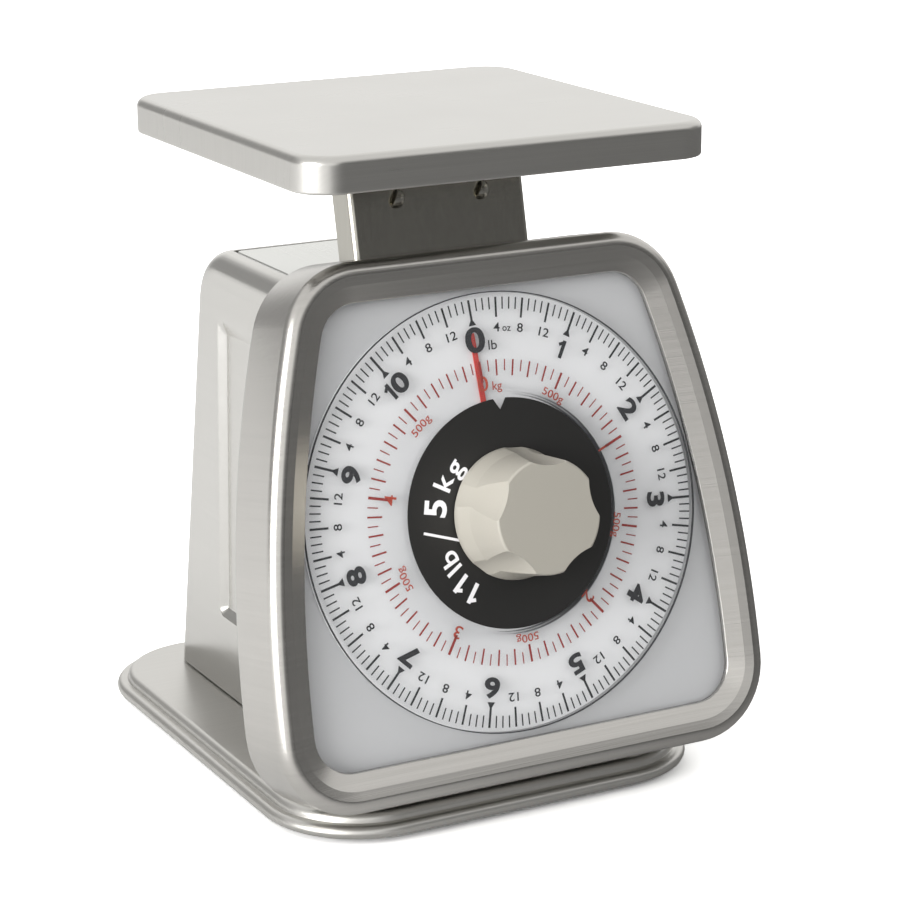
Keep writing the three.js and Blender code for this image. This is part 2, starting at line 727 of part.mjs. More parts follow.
function makeSprings(lowEnd) {
  const bridgeLow = frameTopEdge - 6;
  const bridgeRear = springDepth - 8;
  const bridge = box(-cheekInner + clearance, cheekInner - clearance, bridgeLow, bridgeLow + 2.5,
    bridgeRear, springDepth + 8);
  const screwRadius = 2.2;
  let drilled = bridge;
  for (const side of [-1, 1]) {
    const x = side * springOffset;
    drilled = drilled.subtract(
      uprightRod(screwRadius + clearance, x, bridgeLow - 1, bridgeLow + 4, springDepth, 12),
    );
  }
  place(head, "spring_bridge", drilled, "zincSteel");
  for (const [name, side] of [["left", -1], ["right", 1]]) {
    const x = side * springOffset;
    const nutLow = bridgeLow + 2.5 + clearance;
    const screw = uprightRod(screwRadius, x, bridgeLow - 4, nutLow + 4, springDepth, 12)
      .add(uprightRod(4, x, nutLow, nutLow + 2.6, springDepth, 6));
    place(head, "spring_adjuster_" + name, screw, "brass");
    const top = bridgeLow - 4 - clearance;
    const bottom = lowEnd + clearance;
    place(head, "spring_" + name, coil(top - bottom).translate([x, bottom, springDepth]), "brightSteel");
  }
}

class Helix extends THREE.Curve {
  constructor(radius, height, turns) {
    super();
    Object.assign(this, { radius, height, turns });
  }
  getPoint(t, target = new THREE.Vector3()) {
    const angle = t * this.turns * 2 * Math.PI;
    return target.set(this.radius * Math.cos(angle), this.height * t, this.radius * Math.sin(angle));
  }
}

function coil(height) {
  const wire = new THREE.Shape();
  wire.absarc(0, 0, springWire / 2, 0, 2 * Math.PI, false);
  const path = new Helix(springRadius, height - springWire, springTurns);
  const geometry = new THREE.ExtrudeGeometry(wire, {
    steps: springTurns * 7,
    extrudePath: path,
    curveSegments: 4,
    bevelEnabled: false,
  });
  geometry.translate(0, springWire / 2, 0);
  return solid(geometry);
}

function makeDashpot() {
  const low = -35;
  const high = 5;
  const tube = turned([
    [0, low], [dashpotRadius, low], [dashpotRadius, high], [dashpotRadius - 1, high],
    [dashpotRadius - 1, low + 1.2], [0, low + 1.2],
  ]).rotate([-90, 0, 0]).translate([0, 0, dashpotDepth]);
  const mount = box(-4, 4, -20, -6, frameRear + clearance, dashpotDepth - dashpotRadius + 0.5);
  place(head, "dashpot_cylinder", tube.add(mount), "brass");
  const pistonTop = low + 1.5 + loadTravel + 6;
  const rodSolid = uprightRod(1.2, 0, pistonTop + clearance, armHeight - clearance, dashpotDepth, 12);
  place(head, "dashpot_rod", rodSolid, "brightSteel");
  const piston = uprightRod(dashpotRadius - 1.4, 0, pistonTop - 4, pistonTop, dashpotDepth, 24);
  place(head, "dashpot_piston", piston, "nylon");
}

function makeMechanismFrame() {
  const outer = cheekInner + sheet;
  const ahead = -30;
  const cheek = box(cheekInner, outer, -110, frameTopEdge, frameRear - sheet, ahead);
  const web = box(-outer, outer, -110, frameTopEdge, frameRear - sheet, frameRear);
  const floor = intoHead(box(-200, 200, -300, 300, -60, housingFloor));
  const footLow = housingFloor;
  const foot = intoHead(box(outer - sheet, outer + 10, -44, 0, footLow, footLow + sheet));
  const frame = cheek.add(mirrored(cheek)).add(web)
    .subtract(floor)
    .add(foot).add(mirrored(foot))
    .subtract(crossRod(pinRadius + clearance, 60, upperPinHeight - linkRise, rearPinDepth))
    .subtract(crossRod(pinRadius + clearance, 60, lowerPinHeight - linkRise, rearPinDepth));
  place(head, "mechanism_frame", frame, "zincSteel");
}

// ---- Post and platform ----
const bracketTop = platformTop - sheet - clearance - padHeight - clearance;

function makePost() {
  const inner = postHalfWidth - sheet;
  const high = platformTop - 75; // past the bracket, then cut level under it
  const web = box(-postHalfWidth, postHalfWidth, postLow, high, postFront - sheet, postFront);
  const flange = box(inner, postHalfWidth, postLow, high, postFront - postDepth, postFront);
  const lug = turned([[0, 0], [2.6, 0], [1.6, 2.2], [0, 2.6]], 12)
    .translate([lugSpacing / 2, lugHeight, postFront - 0.2]);
  const above = intoHead(box(-200, 200, -300, 300, bracketTop - sheet - clearance, 400));
  const post = web.add(flange).add(mirrored(flange)).add(lug).add(mirrored(lug)).subtract(above);
  place(head, "support_post", post, "brushedSteel");

  const half = postHalfWidth + 6;
  const centreY = platformFront + platformDepth / 2;
  const plate = prism(
    roundedRectangle(-half, half, centreY - bracketHalfDepth, centreY + bracketHalfDepth, 6),
    bracketTop - sheet, bracketTop,
  );
  place(scale, "platform_bracket", plate, "zincSteel");
  let count = 0;
  for (const x of [-1, 1]) {
    for (const y of [-1, 1]) {
      count += 1;
      const low = bracketTop + clearance;
      const across = x * (half - padInset);
      const along = y * (bracketHalfDepth - padInset);
      const pad = rod(padRadius, low, low + padHeight).translate([across, centreY + along, 0]);
      place(scale, "platform_pad_" + count, pad, "rubber");
    }
  }
}

function platformBlock(inset, top, low, edge) {
  const half = platformWidth / 2 - inset;
  const shape = roundedRectangle(
    -half, half, platformFront + inset, platformFront + platformDepth - inset,
    platformCornerRadius - inset,
  );
  const reach = 20;
  const block = prism(shape, low - reach, top, { radius: edge });
  return block.subtract(box(-200, 200, -200, 200, low - reach - 5, low));
}

function makePlatform() {
  const low = platformTop - platformSkirt;
  const outer = platformBlock(0, platformTop, low, platformEdgeRadius);
  const inner = platformBlock(sheet, platformTop - sheet, low - 1, platformEdgeRadius - sheet)
    .subtract(box(-200, 200, -200, 200, low - 3, low + hemHeight)
      .subtract(platformBlock(hemWidth + sheet, platformTop, low - 5, 0.5)));
  place(scale, "platform", outer.subtract(inner), "brushedSteel");
}

makeBase();
makeHousing();
makeBezel();
makePan();
makeDial();
makePointer();
makeMovementBracket();
makeLinkage();
makeMechanismFrame();
makePost();
makePlatform();

export default scale;
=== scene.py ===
import json
from math import asin, atan, cos, pi, radians, sin, sqrt, tan

import bmesh
import bpy
from mathutils import Matrix, Vector

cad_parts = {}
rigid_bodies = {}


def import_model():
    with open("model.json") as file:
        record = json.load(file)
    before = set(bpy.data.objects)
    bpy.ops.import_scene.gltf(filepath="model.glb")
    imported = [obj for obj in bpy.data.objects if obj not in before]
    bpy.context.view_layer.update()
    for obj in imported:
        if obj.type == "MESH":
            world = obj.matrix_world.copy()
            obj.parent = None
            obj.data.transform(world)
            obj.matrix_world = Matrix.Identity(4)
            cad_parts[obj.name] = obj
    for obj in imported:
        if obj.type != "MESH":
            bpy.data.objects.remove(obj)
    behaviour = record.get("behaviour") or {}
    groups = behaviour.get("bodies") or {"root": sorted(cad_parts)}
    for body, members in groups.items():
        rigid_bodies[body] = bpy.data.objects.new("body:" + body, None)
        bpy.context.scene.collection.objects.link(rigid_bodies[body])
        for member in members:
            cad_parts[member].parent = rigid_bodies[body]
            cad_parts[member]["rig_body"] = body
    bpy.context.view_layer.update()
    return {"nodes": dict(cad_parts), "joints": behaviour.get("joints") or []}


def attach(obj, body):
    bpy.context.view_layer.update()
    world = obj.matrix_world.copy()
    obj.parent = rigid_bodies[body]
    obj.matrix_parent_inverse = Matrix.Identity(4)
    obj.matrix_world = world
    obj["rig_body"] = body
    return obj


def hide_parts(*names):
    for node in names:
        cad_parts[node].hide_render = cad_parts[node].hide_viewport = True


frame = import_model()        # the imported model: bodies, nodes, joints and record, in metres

scene = bpy.context.scene
scene.view_settings.view_transform = "Standard"

# Pieces are modelled in millimetres, in the scale's own frame or in the leaning head's frame
# (x across, y up the face, z out of the face), and go into the scene in metres.
mm = 0.001
inScale = Matrix.Scale(mm, 4)
dialJoint = next(joint for joint in frame["joints"] if joint["name"] == "dial_turn")
faceNormal = Vector(dialJoint["axis"]).normalized()
faceUp = faceNormal.cross(Vector((1, 0, 0)))
dialCentre = Vector(dialJoint["pos_m"])
headTurn = Matrix((Vector((1, 0, 0)), faceUp, faceNormal)).transposed().to_4x4()
inHead = Matrix.Translation(dialCentre) @ headTurn @ inScale
headToScale = inScale.inverted() @ inHead
leanAngle = asin(faceNormal.z)


# lowest and highest corner of a CAD node in millimetres, in the scale's or the head's frame
def measure(node, placing=inScale):
    inverse = placing.inverted()
    points = [inverse @ vert.co for vert in frame["nodes"][node].data.vertices]
    low = Vector(min(point[axis] for point in points) for axis in range(3))
    high = Vector(max(point[axis] for point in points) for axis in range(3))
    return low, high


# camera

cameraView = {
    "fromDial": Vector((-450.5, -804.5, 287.3)),
    "turn": 28.09, "down": 16.05, "roll": -0.24, "lens": 114.1,
}


def makeCamera():
    data = bpy.data.cameras.new("camera")
    data.lens = cameraView["lens"]
    data.clip_start = 0.05
    camera = bpy.data.objects.new("camera", data)
    scene.collection.objects.link(camera)
    turn = Matrix.Rotation(-radians(cameraView["turn"]), 4, "Z")
    tilt = Matrix.Rotation(pi / 2 - radians(cameraView["down"]), 4, "X")
    roll = Matrix.Rotation(radians(cameraView["roll"]), 4, "Z")
    place = Matrix.Translation(dialCentre + cameraView["fromDial"] * mm)
    camera.matrix_world = place @ turn @ tilt @ roll
    scene.camera = camera


makeCamera()
print("camera set")


# materials

# adds a shader node; a value that is another node's socket is linked
def addNode(tree, kind, values=None, **settings):
    node = tree.nodes.new("ShaderNode" + kind)
    for key, value in settings.items():
        setattr(node, key, value)
    for key, value in (values or {}).items():
        if isinstance(value, bpy.types.NodeSocket):
            tree.links.new(value, node.inputs[key])
        else:
            node.inputs[key].default_value = value
    return node


def startMaterial(name, fixed):
    material = bpy.data.materials.new(name)
    material.use_nodes = True
    tree = material.node_tree
    shader = tree.nodes["Principled BSDF"]
    for key, value in fixed.items():
        shader.inputs[key].default_value = value
    return material, tree, shader


def noise(tree, place, scale, detail=3.0, rough=0.55):
    node = addNode(tree, "TexNoise", {
        "Vector": place, "Scale": scale, "Detail": detail, "Roughness": rough,
    })
    return node.outputs["Fac"]


def spread(tree, factor, low, high, fromLow=0.3, fromHigh=0.7):
    node = addNode(tree, "MapRange", {
        "Value": factor, "From Min": fromLow, "From Max": fromHigh, "To Min": low, "To Max": high,
    })
    return node.outputs["Result"]


def blendColours(tree, factor, first, second):
    node = addNode(tree, "Mix", data_type="RGBA")
    for key, value in (("Factor", factor), ("A", first), ("B", second)):
        socket = next(s for s in node.inputs if s.name == key and s.type in
                      (("VALUE",) if key == "Factor" else ("RGBA",)))
        if isinstance(value, bpy.types.NodeSocket):
            tree.links.new(value, socket)
        else:
            socket.default_value = value
    return next(s for s in node.outputs if s.type == "RGBA")


def shade(tone, times=1.0):
    return tuple(channel * times for channel in tone) + (1.0,)


def addBump(tree, shader, height, strength, distance):
    bump = addNode(tree, "Bump", {"Height": height, "Strength": strength, "Distance": distance})
    tree.links.new(bump.outputs["Normal"], shader.inputs["Normal"])


# Brushed sheet metal. The grain runs along the first axis of the coordinates it is given:
# "grain" reads the unfolded sheet kept on the mesh, a letter is an axis of the object.
def brushedSteel(name, tone, roughness, run="grain", lines=1.0, contrast=0.035, shine=1.0):
    material, tree, shader = startMaterial(name, {"Metallic": 1.0})
    if run == "grain":
        place = addNode(tree, "Attribute", attribute_name="grain").outputs["Vector"]
        stretch = (14, 2400, 2400)
    else:
        place = addNode(tree, "TexCoord").outputs["Object"]
        stretch = tuple(14 if axis in run else 2400 for axis in "xyz")
    fine = addNode(tree, "Mapping", {"Vector": place, "Scale": stretch}).outputs["Vector"]
    broad = addNode(tree, "Mapping", {
        "Vector": place, "Scale": tuple(size * 0.22 for size in stretch),
    }).outputs["Vector"]
    hairs = noise(tree, fine, 1.0, 2.0)
    streaks = noise(tree, broad, 1.0, 3.0, 0.6)
    clouds = noise(tree, addNode(tree, "TexCoord").outputs["Object"], 22.0, 2.0)
    both = addNode(tree, "Math", {0: hairs, 1: streaks}, operation="ADD").outputs[0]
    colour = blendColours(
        tree, spread(tree, both, 0.0, 1.0, 0.7, 1.3),
        shade(tone, 1 - contrast), shade(tone, 1 + contrast),
    )
    tree.links.new(colour, shader.inputs["Base Color"])
    dull = addNode(tree, "Math", {0: both, 1: clouds}, operation="ADD").outputs[0]
    rough = spread(tree, dull, roughness * 0.9, roughness * 1.1, 1.1, 1.9)
    tree.links.new(rough, shader.inputs["Roughness"])
    addBump(tree, shader, both, 0.16 * lines, 0.00004)
    shader.inputs["Specular IOR Level"].default_value = 0.5 * shine
    return material


# Plated or cast metal: a soft mottle without a grain.
def plainMetal(name, tone, roughness, mottle=60.0, contrast=0.05):
    material, tree, shader = startMaterial(name, {"Metallic": 1.0})
    place = addNode(tree, "TexCoord").outputs["Object"]
    cloud = noise(tree, place, mottle, 4.0)
    speck = noise(tree, place, mottle * 25, 2.0)
    colour = blendColours(tree, cloud, shade(tone, 1 - contrast), shade(tone, 1 + contrast))
    tree.links.new(colour, shader.inputs["Base Color"])
    tree.links.new(spread(tree, cloud, roughness * 0.8, roughness * 1.2), shader.inputs["Roughness"])
    addBump(tree, shader, speck, 0.1, 0.00003)
    return material


# Paint, plastic, rubber and ink.
def plainSurface(name, tone, roughness, texture=900.0, bump=0.05, contrast=0.03, fixed=None):
    material, tree, shader = startMaterial(name, fixed or {})
    place = addNode(tree, "TexCoord").outputs["Object"]
    cloud = noise(tree, place, 35.0, 3.0)
    grit = noise(tree, place, texture, 2.0)
    colour = blendColours(tree, cloud, shade(tone, 1 - contrast), shade(tone, 1 + contrast))
    tree.links.new(colour, shader.inputs["Base Color"])
    tree.links.new(spread(tree, grit, roughness * 0.9, roughness * 1.1), shader.inputs["Roughness"])
    addBump(tree, shader, grit, bump, 0.00005)
    return material


# Clear plastic: mostly see-through, with a little of the room in its surface.
def clearPlastic(name, tone, solid, roughness):
    material, tree, shader = startMaterial(name, {"Alpha": solid, "Base Color": shade(tone)})
    place = addNode(tree, "TexCoord").outputs["Object"]
    smears = noise(tree, place, 40.0, 3.0)
    tree.links.new(spread(tree, smears, roughness * 0.7, roughness * 1.4), shader.inputs["Roughness"])
    return material


steelTone = (0.62, 0.61, 0.585)
bezelSteel = brushedSteel("bezelSteel", (0.57, 0.555, 0.53), 0.24, lines=2.2, contrast=0.05)
platformSteel = brushedSteel("platformSteel", steelTone, 0.30, lines=1.5)
baseSteel = brushedSteel("baseSteel", steelTone, 0.36)
# painted light: the housing's steel is paler than the platform's, for its brightly lit sides
litHousingSteel = brushedSteel("litHousingSteel", (0.66, 0.65, 0.625), 0.22, run="y", contrast=0.03)
# painted light: the cover's steel is paler still than the housing's, for the lit top
litCoverSteel = brushedSteel("litCoverSteel", (0.70, 0.705, 0.68), 0.26, run="y", contrast=0.03)
# painted shade: the post's steel is darker and warmer than the other steel, for the post standing in the
# platform's shadow
shadedPostSteel = brushedSteel("shadedPostSteel", (0.50, 0.485, 0.44), 0.20, run="z", contrast=0.04)
zincSteel = plainMetal("zincSteel", (0.55, 0.56, 0.54), 0.42)
brightSteel = plainMetal("brightSteel", (0.68, 0.68, 0.67), 0.2)
brass = plainMetal("brass", (0.70, 0.52, 0.22), 0.32)
facePaint = plainSurface("facePaint", (0.515, 0.52, 0.53), 0.45, 1600.0, 0.06)
dialWhite = plainSurface("dialWhite", (0.88, 0.885, 0.90), 0.5, 1200.0, 0.02, 0.01)
knobIvory = plainSurface("knobIvory", (0.37, 0.352, 0.31), 0.36, 1500.0, 0.04, 0.02)
labelBlack = plainSurface("labelBlack", (0.018, 0.0175, 0.017), 0.38, 2000.0, 0.05, 0.1)
printAndEdgeShadeBlack = plainSurface("printAndEdgeShadeBlack", (0.012, 0.012, 0.014), 0.5, 2500.0, 0.02, 0.2)
printRed = plainSurface("printRed", (0.27, 0.014, 0.009), 0.5, 2500.0, 0.02, 0.2)
printOrange = plainSurface("printOrange", (0.42, 0.045, 0.018), 0.5, 2500.0, 0.02, 0.2)
printWhite = plainSurface("printWhite", (0.86, 0.85, 0.87), 0.45, 2500.0, 0.02, 0.02)
pointerRed = plainSurface("pointerRed", (0.62, 0.030, 0.016), 0.42, 1500.0, 0.03, 0.06)
blackRubber = plainSurface("blackRubber", (0.02, 0.02, 0.019), 0.8, 1200.0, 0.3, 0.15)
whiteNylon = plainSurface("whiteNylon", (0.72, 0.70, 0.65), 0.45, 900.0, 0.05)
clearDial = clearPlastic("clearDial", (0.6, 0.62, 0.65), 0.02, 0.10)
clearLens = clearPlastic("clearLens", (0.5, 0.52, 0.55), 0.03, 0.05)
print("materials made")


# modelling helpers

# rounds the corners of a section: (x, y) or (x, y, radius) points
def roundedPath(corners, segments=6):
    points = []
    for index, corner in enumerate(corners):
        here = Vector(corner[:2])
        radius = corner[2] if len(corner) > 2 else 0
        if radius == 0:
            points.append(here)
            continue
        before = (Vector(corners[index - 1][:2]) - here).normalized()
        after = (Vector(corners[index + 1][:2]) - here).normalized()
        half = before.angle(after) / 2
        centre = here + (before + after).normalized() * (radius / sin(half))
        start = here + before * (radius / tan(half)) - centre
        end = here + after * (radius / tan(half)) - centre
        turn = start.angle_signed(end)
        for step in range(segments + 1):
            points.append(centre + Matrix.Rotation(-turn * step / segments, 2) @ start)
    return points


# draws a vertex along, leaving an edge
def stretch(bm, vert, move):
    made = bmesh.ops.extrude_vert_indiv(bm, verts=[vert])["verts"][0]
    made.co = vert.co + Vector(move)
    return made


# swings a vertex round a centre, leaving an arc of edges
def swing(bm, vert, centre, angle, steps, axis=(0, 0, 1)):
    made = bmesh.ops.spin(
        bm, geom=[vert], cent=centre, axis=axis, angle=angle, steps=steps, use_merge=False,
    )
    return next(item for item in made["geom_last"] if isinstance(item, bmesh.types.BMVert))


def mirrorAcross(bm, axis="X"):
    bmesh.ops.mirror(
        bm, geom=bm.verts[:] + bm.edges[:] + bm.faces[:], matrix=Matrix.Identity(4),
        merge_dist=0.001, axis=axis,
    )
    bmesh.ops.remove_doubles(bm, verts=bm.verts, dist=0.001)


# fills the closed outline that a bmesh holds, facing up
def fillOutline(bm):
    face = bmesh.ops.contextual_create(bm, geom=bm.edges[:])["faces"][0]
    face.normal_update()
    if face.normal.z < 0:
        face.normal_flip()
    return face


# the head's outline: bowed sides, round corners, level top and bottom
faceShape = {"bowRadius": 470, "cornerRadius": 27, "widestAt": -62, "arcSteps": 12, "bowSteps": 26}


def faceOutline(bm, height, inset=0):
    low, high = measure("front_bezel", inHead)
    bow = faceShape["bowRadius"] - inset
    corner = faceShape["cornerRadius"] - inset
    widest = faceShape["widestAt"]
    bowX = high.x - faceShape["bowRadius"]

    # where a corner's arc is centred, and the angle at which it meets the bow
    def cornerAt(level):
        rise = level - widest
        reach = bow - corner
        return bowX + sqrt(reach ** 2 - rise ** 2), asin(rise / reach)

    lowY = low.y + faceShape["cornerRadius"]
    highY = high.y - faceShape["cornerRadius"]
    lowX, lowAngle = cornerAt(lowY)
    highX, highAngle = cornerAt(highY)
    vert = bm.verts.new((0, low.y + inset, height))
    vert = stretch(bm, vert, (lowX, 0, 0))
    vert = swing(bm, vert, (lowX, lowY, height), lowAngle + pi / 2, faceShape["arcSteps"])
    vert = swing(bm, vert, (bowX, widest, height), highAngle - lowAngle, faceShape["bowSteps"])
    vert = swing(bm, vert, (highX, highY, height), pi / 2 - highAngle, faceShape["arcSteps"])
    stretch(bm, vert, (-highX, 0, 0))
    mirrorAcross(bm)
    return fillOutline(bm)


def roundedRectangle(bm, low, high, radius, height, steps=12):
    middle = Vector(((low.x + high.x) / 2, (low.y + high.y) / 2, 0))
    half = Vector(((high.x - low.x) / 2, (high.y - low.y) / 2, 0))
    vert = bm.verts.new((0, -half.y, height))
    vert = stretch(bm, vert, (half.x - radius, 0, 0))
    vert = swing(bm, vert, (half.x - radius, radius - half.y, height), pi / 2, steps)
    stretch(bm, vert, (0, half.y - radius, 0))
    mirrorAcross(bm, "Y")
    mirrorAcross(bm, "X")
    bmesh.ops.translate(bm, vec=middle, verts=bm.verts)
    return fillOutline(bm)


# the vertices among the things that an operator made
def vertsIn(made):
    return [item for item in made if isinstance(item, bmesh.types.BMVert)]


def openEdges(bm):
    return [edge for edge in bm.edges if len(edge.link_faces) == 1]


# Raises a face ring by ring along a section of (inset, height) points. Each vertex keeps where it
# lies on the flat sheet before the sheet is folded, for the brushed grain.
def raiseAlong(bm, face, section):
    layer = bm.verts.layers.float_vector.get("grain") or bm.verts.layers.float_vector.new("grain")
    path = [0.0]
    for before, after in zip(section, section[1:]):
        path.append(path[-1] + (after - before).length)
    inset, height = section[0]
    centre = face.calc_center_bounds()
    halfX = max(vert.co.x for vert in face.verts) - centre.x
    halfY = max(vert.co.y for vert in face.verts) - centre.y

    # the fold pushes a point of the flat sheet outwards, square to the nearest side
    def keep(ring):
        fold = path[-1] - path[ring] - (section[-1].x - section[ring].x)
        for vert in face.verts:
            out = Vector((((vert.co.x - centre.x) / halfX) ** 9, ((vert.co.y - centre.y) / halfY) ** 9, 0))
            vert[layer] = Vector((vert.co.x, vert.co.y, 0)) * mm + out.normalized() * fold * mm

    keep(0)
    for ring, (nextInset, nextHeight) in enumerate(section[1:], 1):
        bmesh.ops.inset_region(
            bm, faces=[face], thickness=nextInset - inset, depth=nextHeight - height,
            use_even_offset=True, use_boundary=True,
        )
        inset, height = nextInset, nextHeight
        keep(ring)
    return face


# turns a section of (radius, height) points round the z axis into a closed or open skin
def turnSection(bm, section, steps=64, centre=(0, 0, 0)):
    verts = [bm.verts.new((centre[0] + point[0], centre[1], centre[2] + point[1])) for point in section]
    edges = [bm.edges.new(pair) for pair in zip(verts, verts[1:])]
    bmesh.ops.spin(
        bm, geom=verts + edges, cent=centre, axis=(0, 0, 1), angle=2 * pi, steps=steps, use_merge=True,
    )
    bmesh.ops.remove_doubles(bm, verts=bm.verts, dist=0.0005)
    bmesh.ops.recalc_face_normals(bm, faces=bm.faces)


def addBox(bm, low, high, placing=Matrix.Identity(4)):
    size = Vector(high) - Vector(low)
    centre = (Vector(high) + Vector(low)) / 2
    matrix = placing @ Matrix.Translation(centre) @ Matrix.Diagonal((*size, 1))
    return bmesh.ops.create_cube(bm, size=1, matrix=matrix)["verts"]


def addRod(bm, radius, low, high, placing=Matrix.Identity(4), steps=40, topRadius=None):
    matrix = placing @ Matrix.Translation((0, 0, (low + high) / 2))
    return bmesh.ops.create_cone(
        bm, cap_ends=True, segments=steps, radius1=radius,
        radius2=radius if topRadius is None else topRadius, depth=high - low, matrix=matrix,
    )["verts"]


# keeps the part of a mesh behind a plane
def trim(bm, point, normal):
    bmesh.ops.bisect_plane(
        bm, geom=bm.verts[:] + bm.edges[:] + bm.faces[:], dist=0.0001,
        plane_co=point, plane_no=normal, clear_outer=True,
    )


def scratchObject(bm):
    mesh = bpy.data.meshes.new("scratch")
    bm.to_mesh(mesh)
    holder = bpy.data.objects.new("scratch", mesh)
    scene.collection.objects.link(holder)
    return holder


# cuts one solid out of another, or joins them
def combine(bm, tool, operation="DIFFERENCE"):
    body = scratchObject(bm)
    cutter = scratchObject(tool)
    modifier = body.modifiers.new("combine", "BOOLEAN")
    modifier.operation = operation
    modifier.solver = "EXACT"
    modifier.object = cutter
    made = bpy.data.meshes.new_from_object(body.evaluated_get(bpy.context.evaluated_depsgraph_get()))
    bm.clear()
    bm.from_mesh(made)
    tool.free()
    for holder in (body, cutter):
        bpy.data.meshes.remove(holder.data)
    bpy.data.meshes.remove(made)


# softens the edges that a test picks
def soften(bm, offset, segments, picks):
    edges = [edge for edge in bm.edges if picks(edge)]
    return bmesh.ops.bevel(
        bm, geom=edges, offset=offset, offset_type="OFFSET", affect="EDGES", segments=segments,
        profile=0.5, material=-1, clamp_overlap=True,
    )


def isSharp(edge, angle=30):
    return len(edge.link_faces) == 2 and edge.calc_face_angle(0) > radians(angle)


# Puts a finished mesh in its place, with its finish, its body and the CAD nodes it stands for.
def finishPiece(bm, name, look, placing, replaces, wall=0, rim=0, sharpAngle=32, body=None):
    bmesh.ops.transform(bm, matrix=placing, verts=bm.verts)
    mesh = bpy.data.meshes.new(name)
    bm.to_mesh(mesh)
    bm.free()
    mesh.polygons.foreach_set("use_smooth", [True] * len(mesh.polygons))
    mesh.set_sharp_from_angle(angle=radians(sharpAngle))
    for material in look if isinstance(look, (list, tuple)) else [look]:
        mesh.materials.append(material)
    piece = bpy.data.objects.new(name, mesh)
    scene.collection.objects.link(piece)
    if wall:
        shell = piece.modifiers.new("wall", "SOLIDIFY")
        shell.thickness = wall * mm
        shell.offset = -1
        shell.use_even_offset = True
        shell.use_quality_normals = True
    if rim:
        bevel = piece.modifiers.new("rim", "BEVEL")
        bevel.width = rim * mm
        bevel.segments = 2
        bevel.limit_method = "ANGLE"
        bevel.angle_limit = radians(40)
        bevel.harden_normals = False
    normals = piece.modifiers.new("normals", "WEIGHTED_NORMAL")
    normals.keep_sharp = True
    nodes = [replaces] if isinstance(replaces, str) else list(replaces)
    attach(piece, body or frame["nodes"][nodes[0]]["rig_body"])
    if nodes:
        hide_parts(*nodes)
    return piece


# head: bezel, back and face

bezelSizes = {
    "wall": 1.2, "ridgeRadius": 4.3, "ridgeFlat": 0.5,
    "crease": (8.0, -1.0),          # inset, and height from the ridge
    "opening": (13.6, -3.6),
    "lip": 1.6,                     # turned back at the opening
}


def makeBezel():
    low, high = measure("front_bezel", inHead)
    ridge = high.z
    flatFrom = bezelSizes["ridgeRadius"] + bezelSizes["ridgeFlat"]
    creaseInset, creaseDrop = bezelSizes["crease"]
    openInset, openDrop = bezelSizes["opening"]
    section = roundedPath([
        (0, low.z),
        (0, ridge, bezelSizes["ridgeRadius"]),
        (flatFrom, ridge, 0.8),
        (creaseInset, ridge + creaseDrop, 0.5),
        (openInset, ridge + openDrop, 0.5),
        (openInset + 0.3, ridge + openDrop - bezelSizes["lip"]),
    ], 8)
    bm = bmesh.new()
    face = raiseAlong(bm, faceOutline(bm, low.z), section)
    bmesh.ops.delete(bm, geom=[face], context="FACES_ONLY")
    finishPiece(bm, "bezelShell", bezelSteel, inHead, "front_bezel",
                wall=bezelSizes["wall"])


backSizes = {"turnUp": 5.0, "bend": 1.5, "dishInset": 9.0, "dishDepth": 1.2, "dishBend": 1.0}


def makeBack():
    low, high = measure("pan_back", inHead)
    outline = measure("front_bezel", inHead)
    inset = high.x and outline[1].x - high.x
    bm = bmesh.new()
    face = faceOutline(bm, 0, inset)
    dish = backSizes["dishInset"]
    section = roundedPath([
        (0, -backSizes["turnUp"]),
        (0, 0, backSizes["bend"]),
        (dish, 0, backSizes["dishBend"]),
        (dish + 1.5, -backSizes["dishDepth"], backSizes["dishBend"]),
        (dish + 4, -backSizes["dishDepth"]),
    ], 4)
    raiseAlong(bm, face, section)
    # drawn with its outside up, so it is turned to face the rear
    turnOver = Matrix.Translation((0, 0, low.z)) @ Matrix.Rotation(pi, 4, "Y")
    finishPiece(bm, "backPan", zincSteel, inHead @ turnOver, "pan_back",
                wall=high.z - low.z)


def makeFace():
    low, high = measure("face_plate", inHead)
    outline = measure("front_bezel", inHead)
    bm = bmesh.new()
    face = faceOutline(bm, low.z, outline[1].x - high.x)
    raiseAlong(bm, face, [Vector((0, low.z)), Vector((0, high.z - 0.1)), Vector((0.1, high.z))])
    finishPiece(bm, "facePanel", facePaint, inHead, "face_plate")


makeBezel()
makeBack()
makeFace()
print("bezel, back and face made")


# dial, print and pointer

dialPrint = {
    "zeroTurn": 4.4,                # degrees to the left of the top
    "pounds": 11, "ounces": 16,
    "outer": 73.0, "ounceInner": 68.9, "quarterInner": 66.2, "poundInner": 64.3,
    "ounceWidth": 0.50, "quarterWidth": 0.76, "poundWidth": 0.84,
    "arrowBase": 2.9, "arrowLength": 1.9, "poundAt": 59.4, "ounceAt": 62.8,
    "kilos": 5, "perKilo": 20, "redOuter": 52.0,
    "redSteps": {1: (48.1, 0.42), 2: (46.5, 0.62), 10: (45.9, 0.80), 20: (44.8, 0.95)},
    "kiloAt": 44.4, "gramAt": 43.7,
    "zeroTall": 7.9, "poundTall": 6.3, "ounceTall": 2.9,
    "kiloZeroTall": 5.0, "kiloTall": 4.3, "gramTall": 2.6,
    # edgeShadeWidth is the width of a painted shade ring at the edge of the clear disc
    "oneStroke": 1.35, "tenSpread": (-2.6, 2.0), "edgeShadeWidth": 0.34, "arrowTip": 0.36,
    "thickness": 0.04, "lift": 0.02,
}
dialSizes = {"bore": 5.4, "rimGap": 0.3, "edge": 0.15, "backBore": 4.0, "backEdge": 0.1}
fontCap = 0.682                     # height of a capital in the built-in font at size 1


# a flat mark from one radius to another at an angle clockwise from the top, in degrees
def addMark(bm, angle, inner, outer, width, height):
    turn = Matrix.Rotation(-radians(angle), 4, "Z")
    addBox(bm, (-width / 2, inner, height), (width / 2, outer, height + dialPrint["thickness"]), turn)


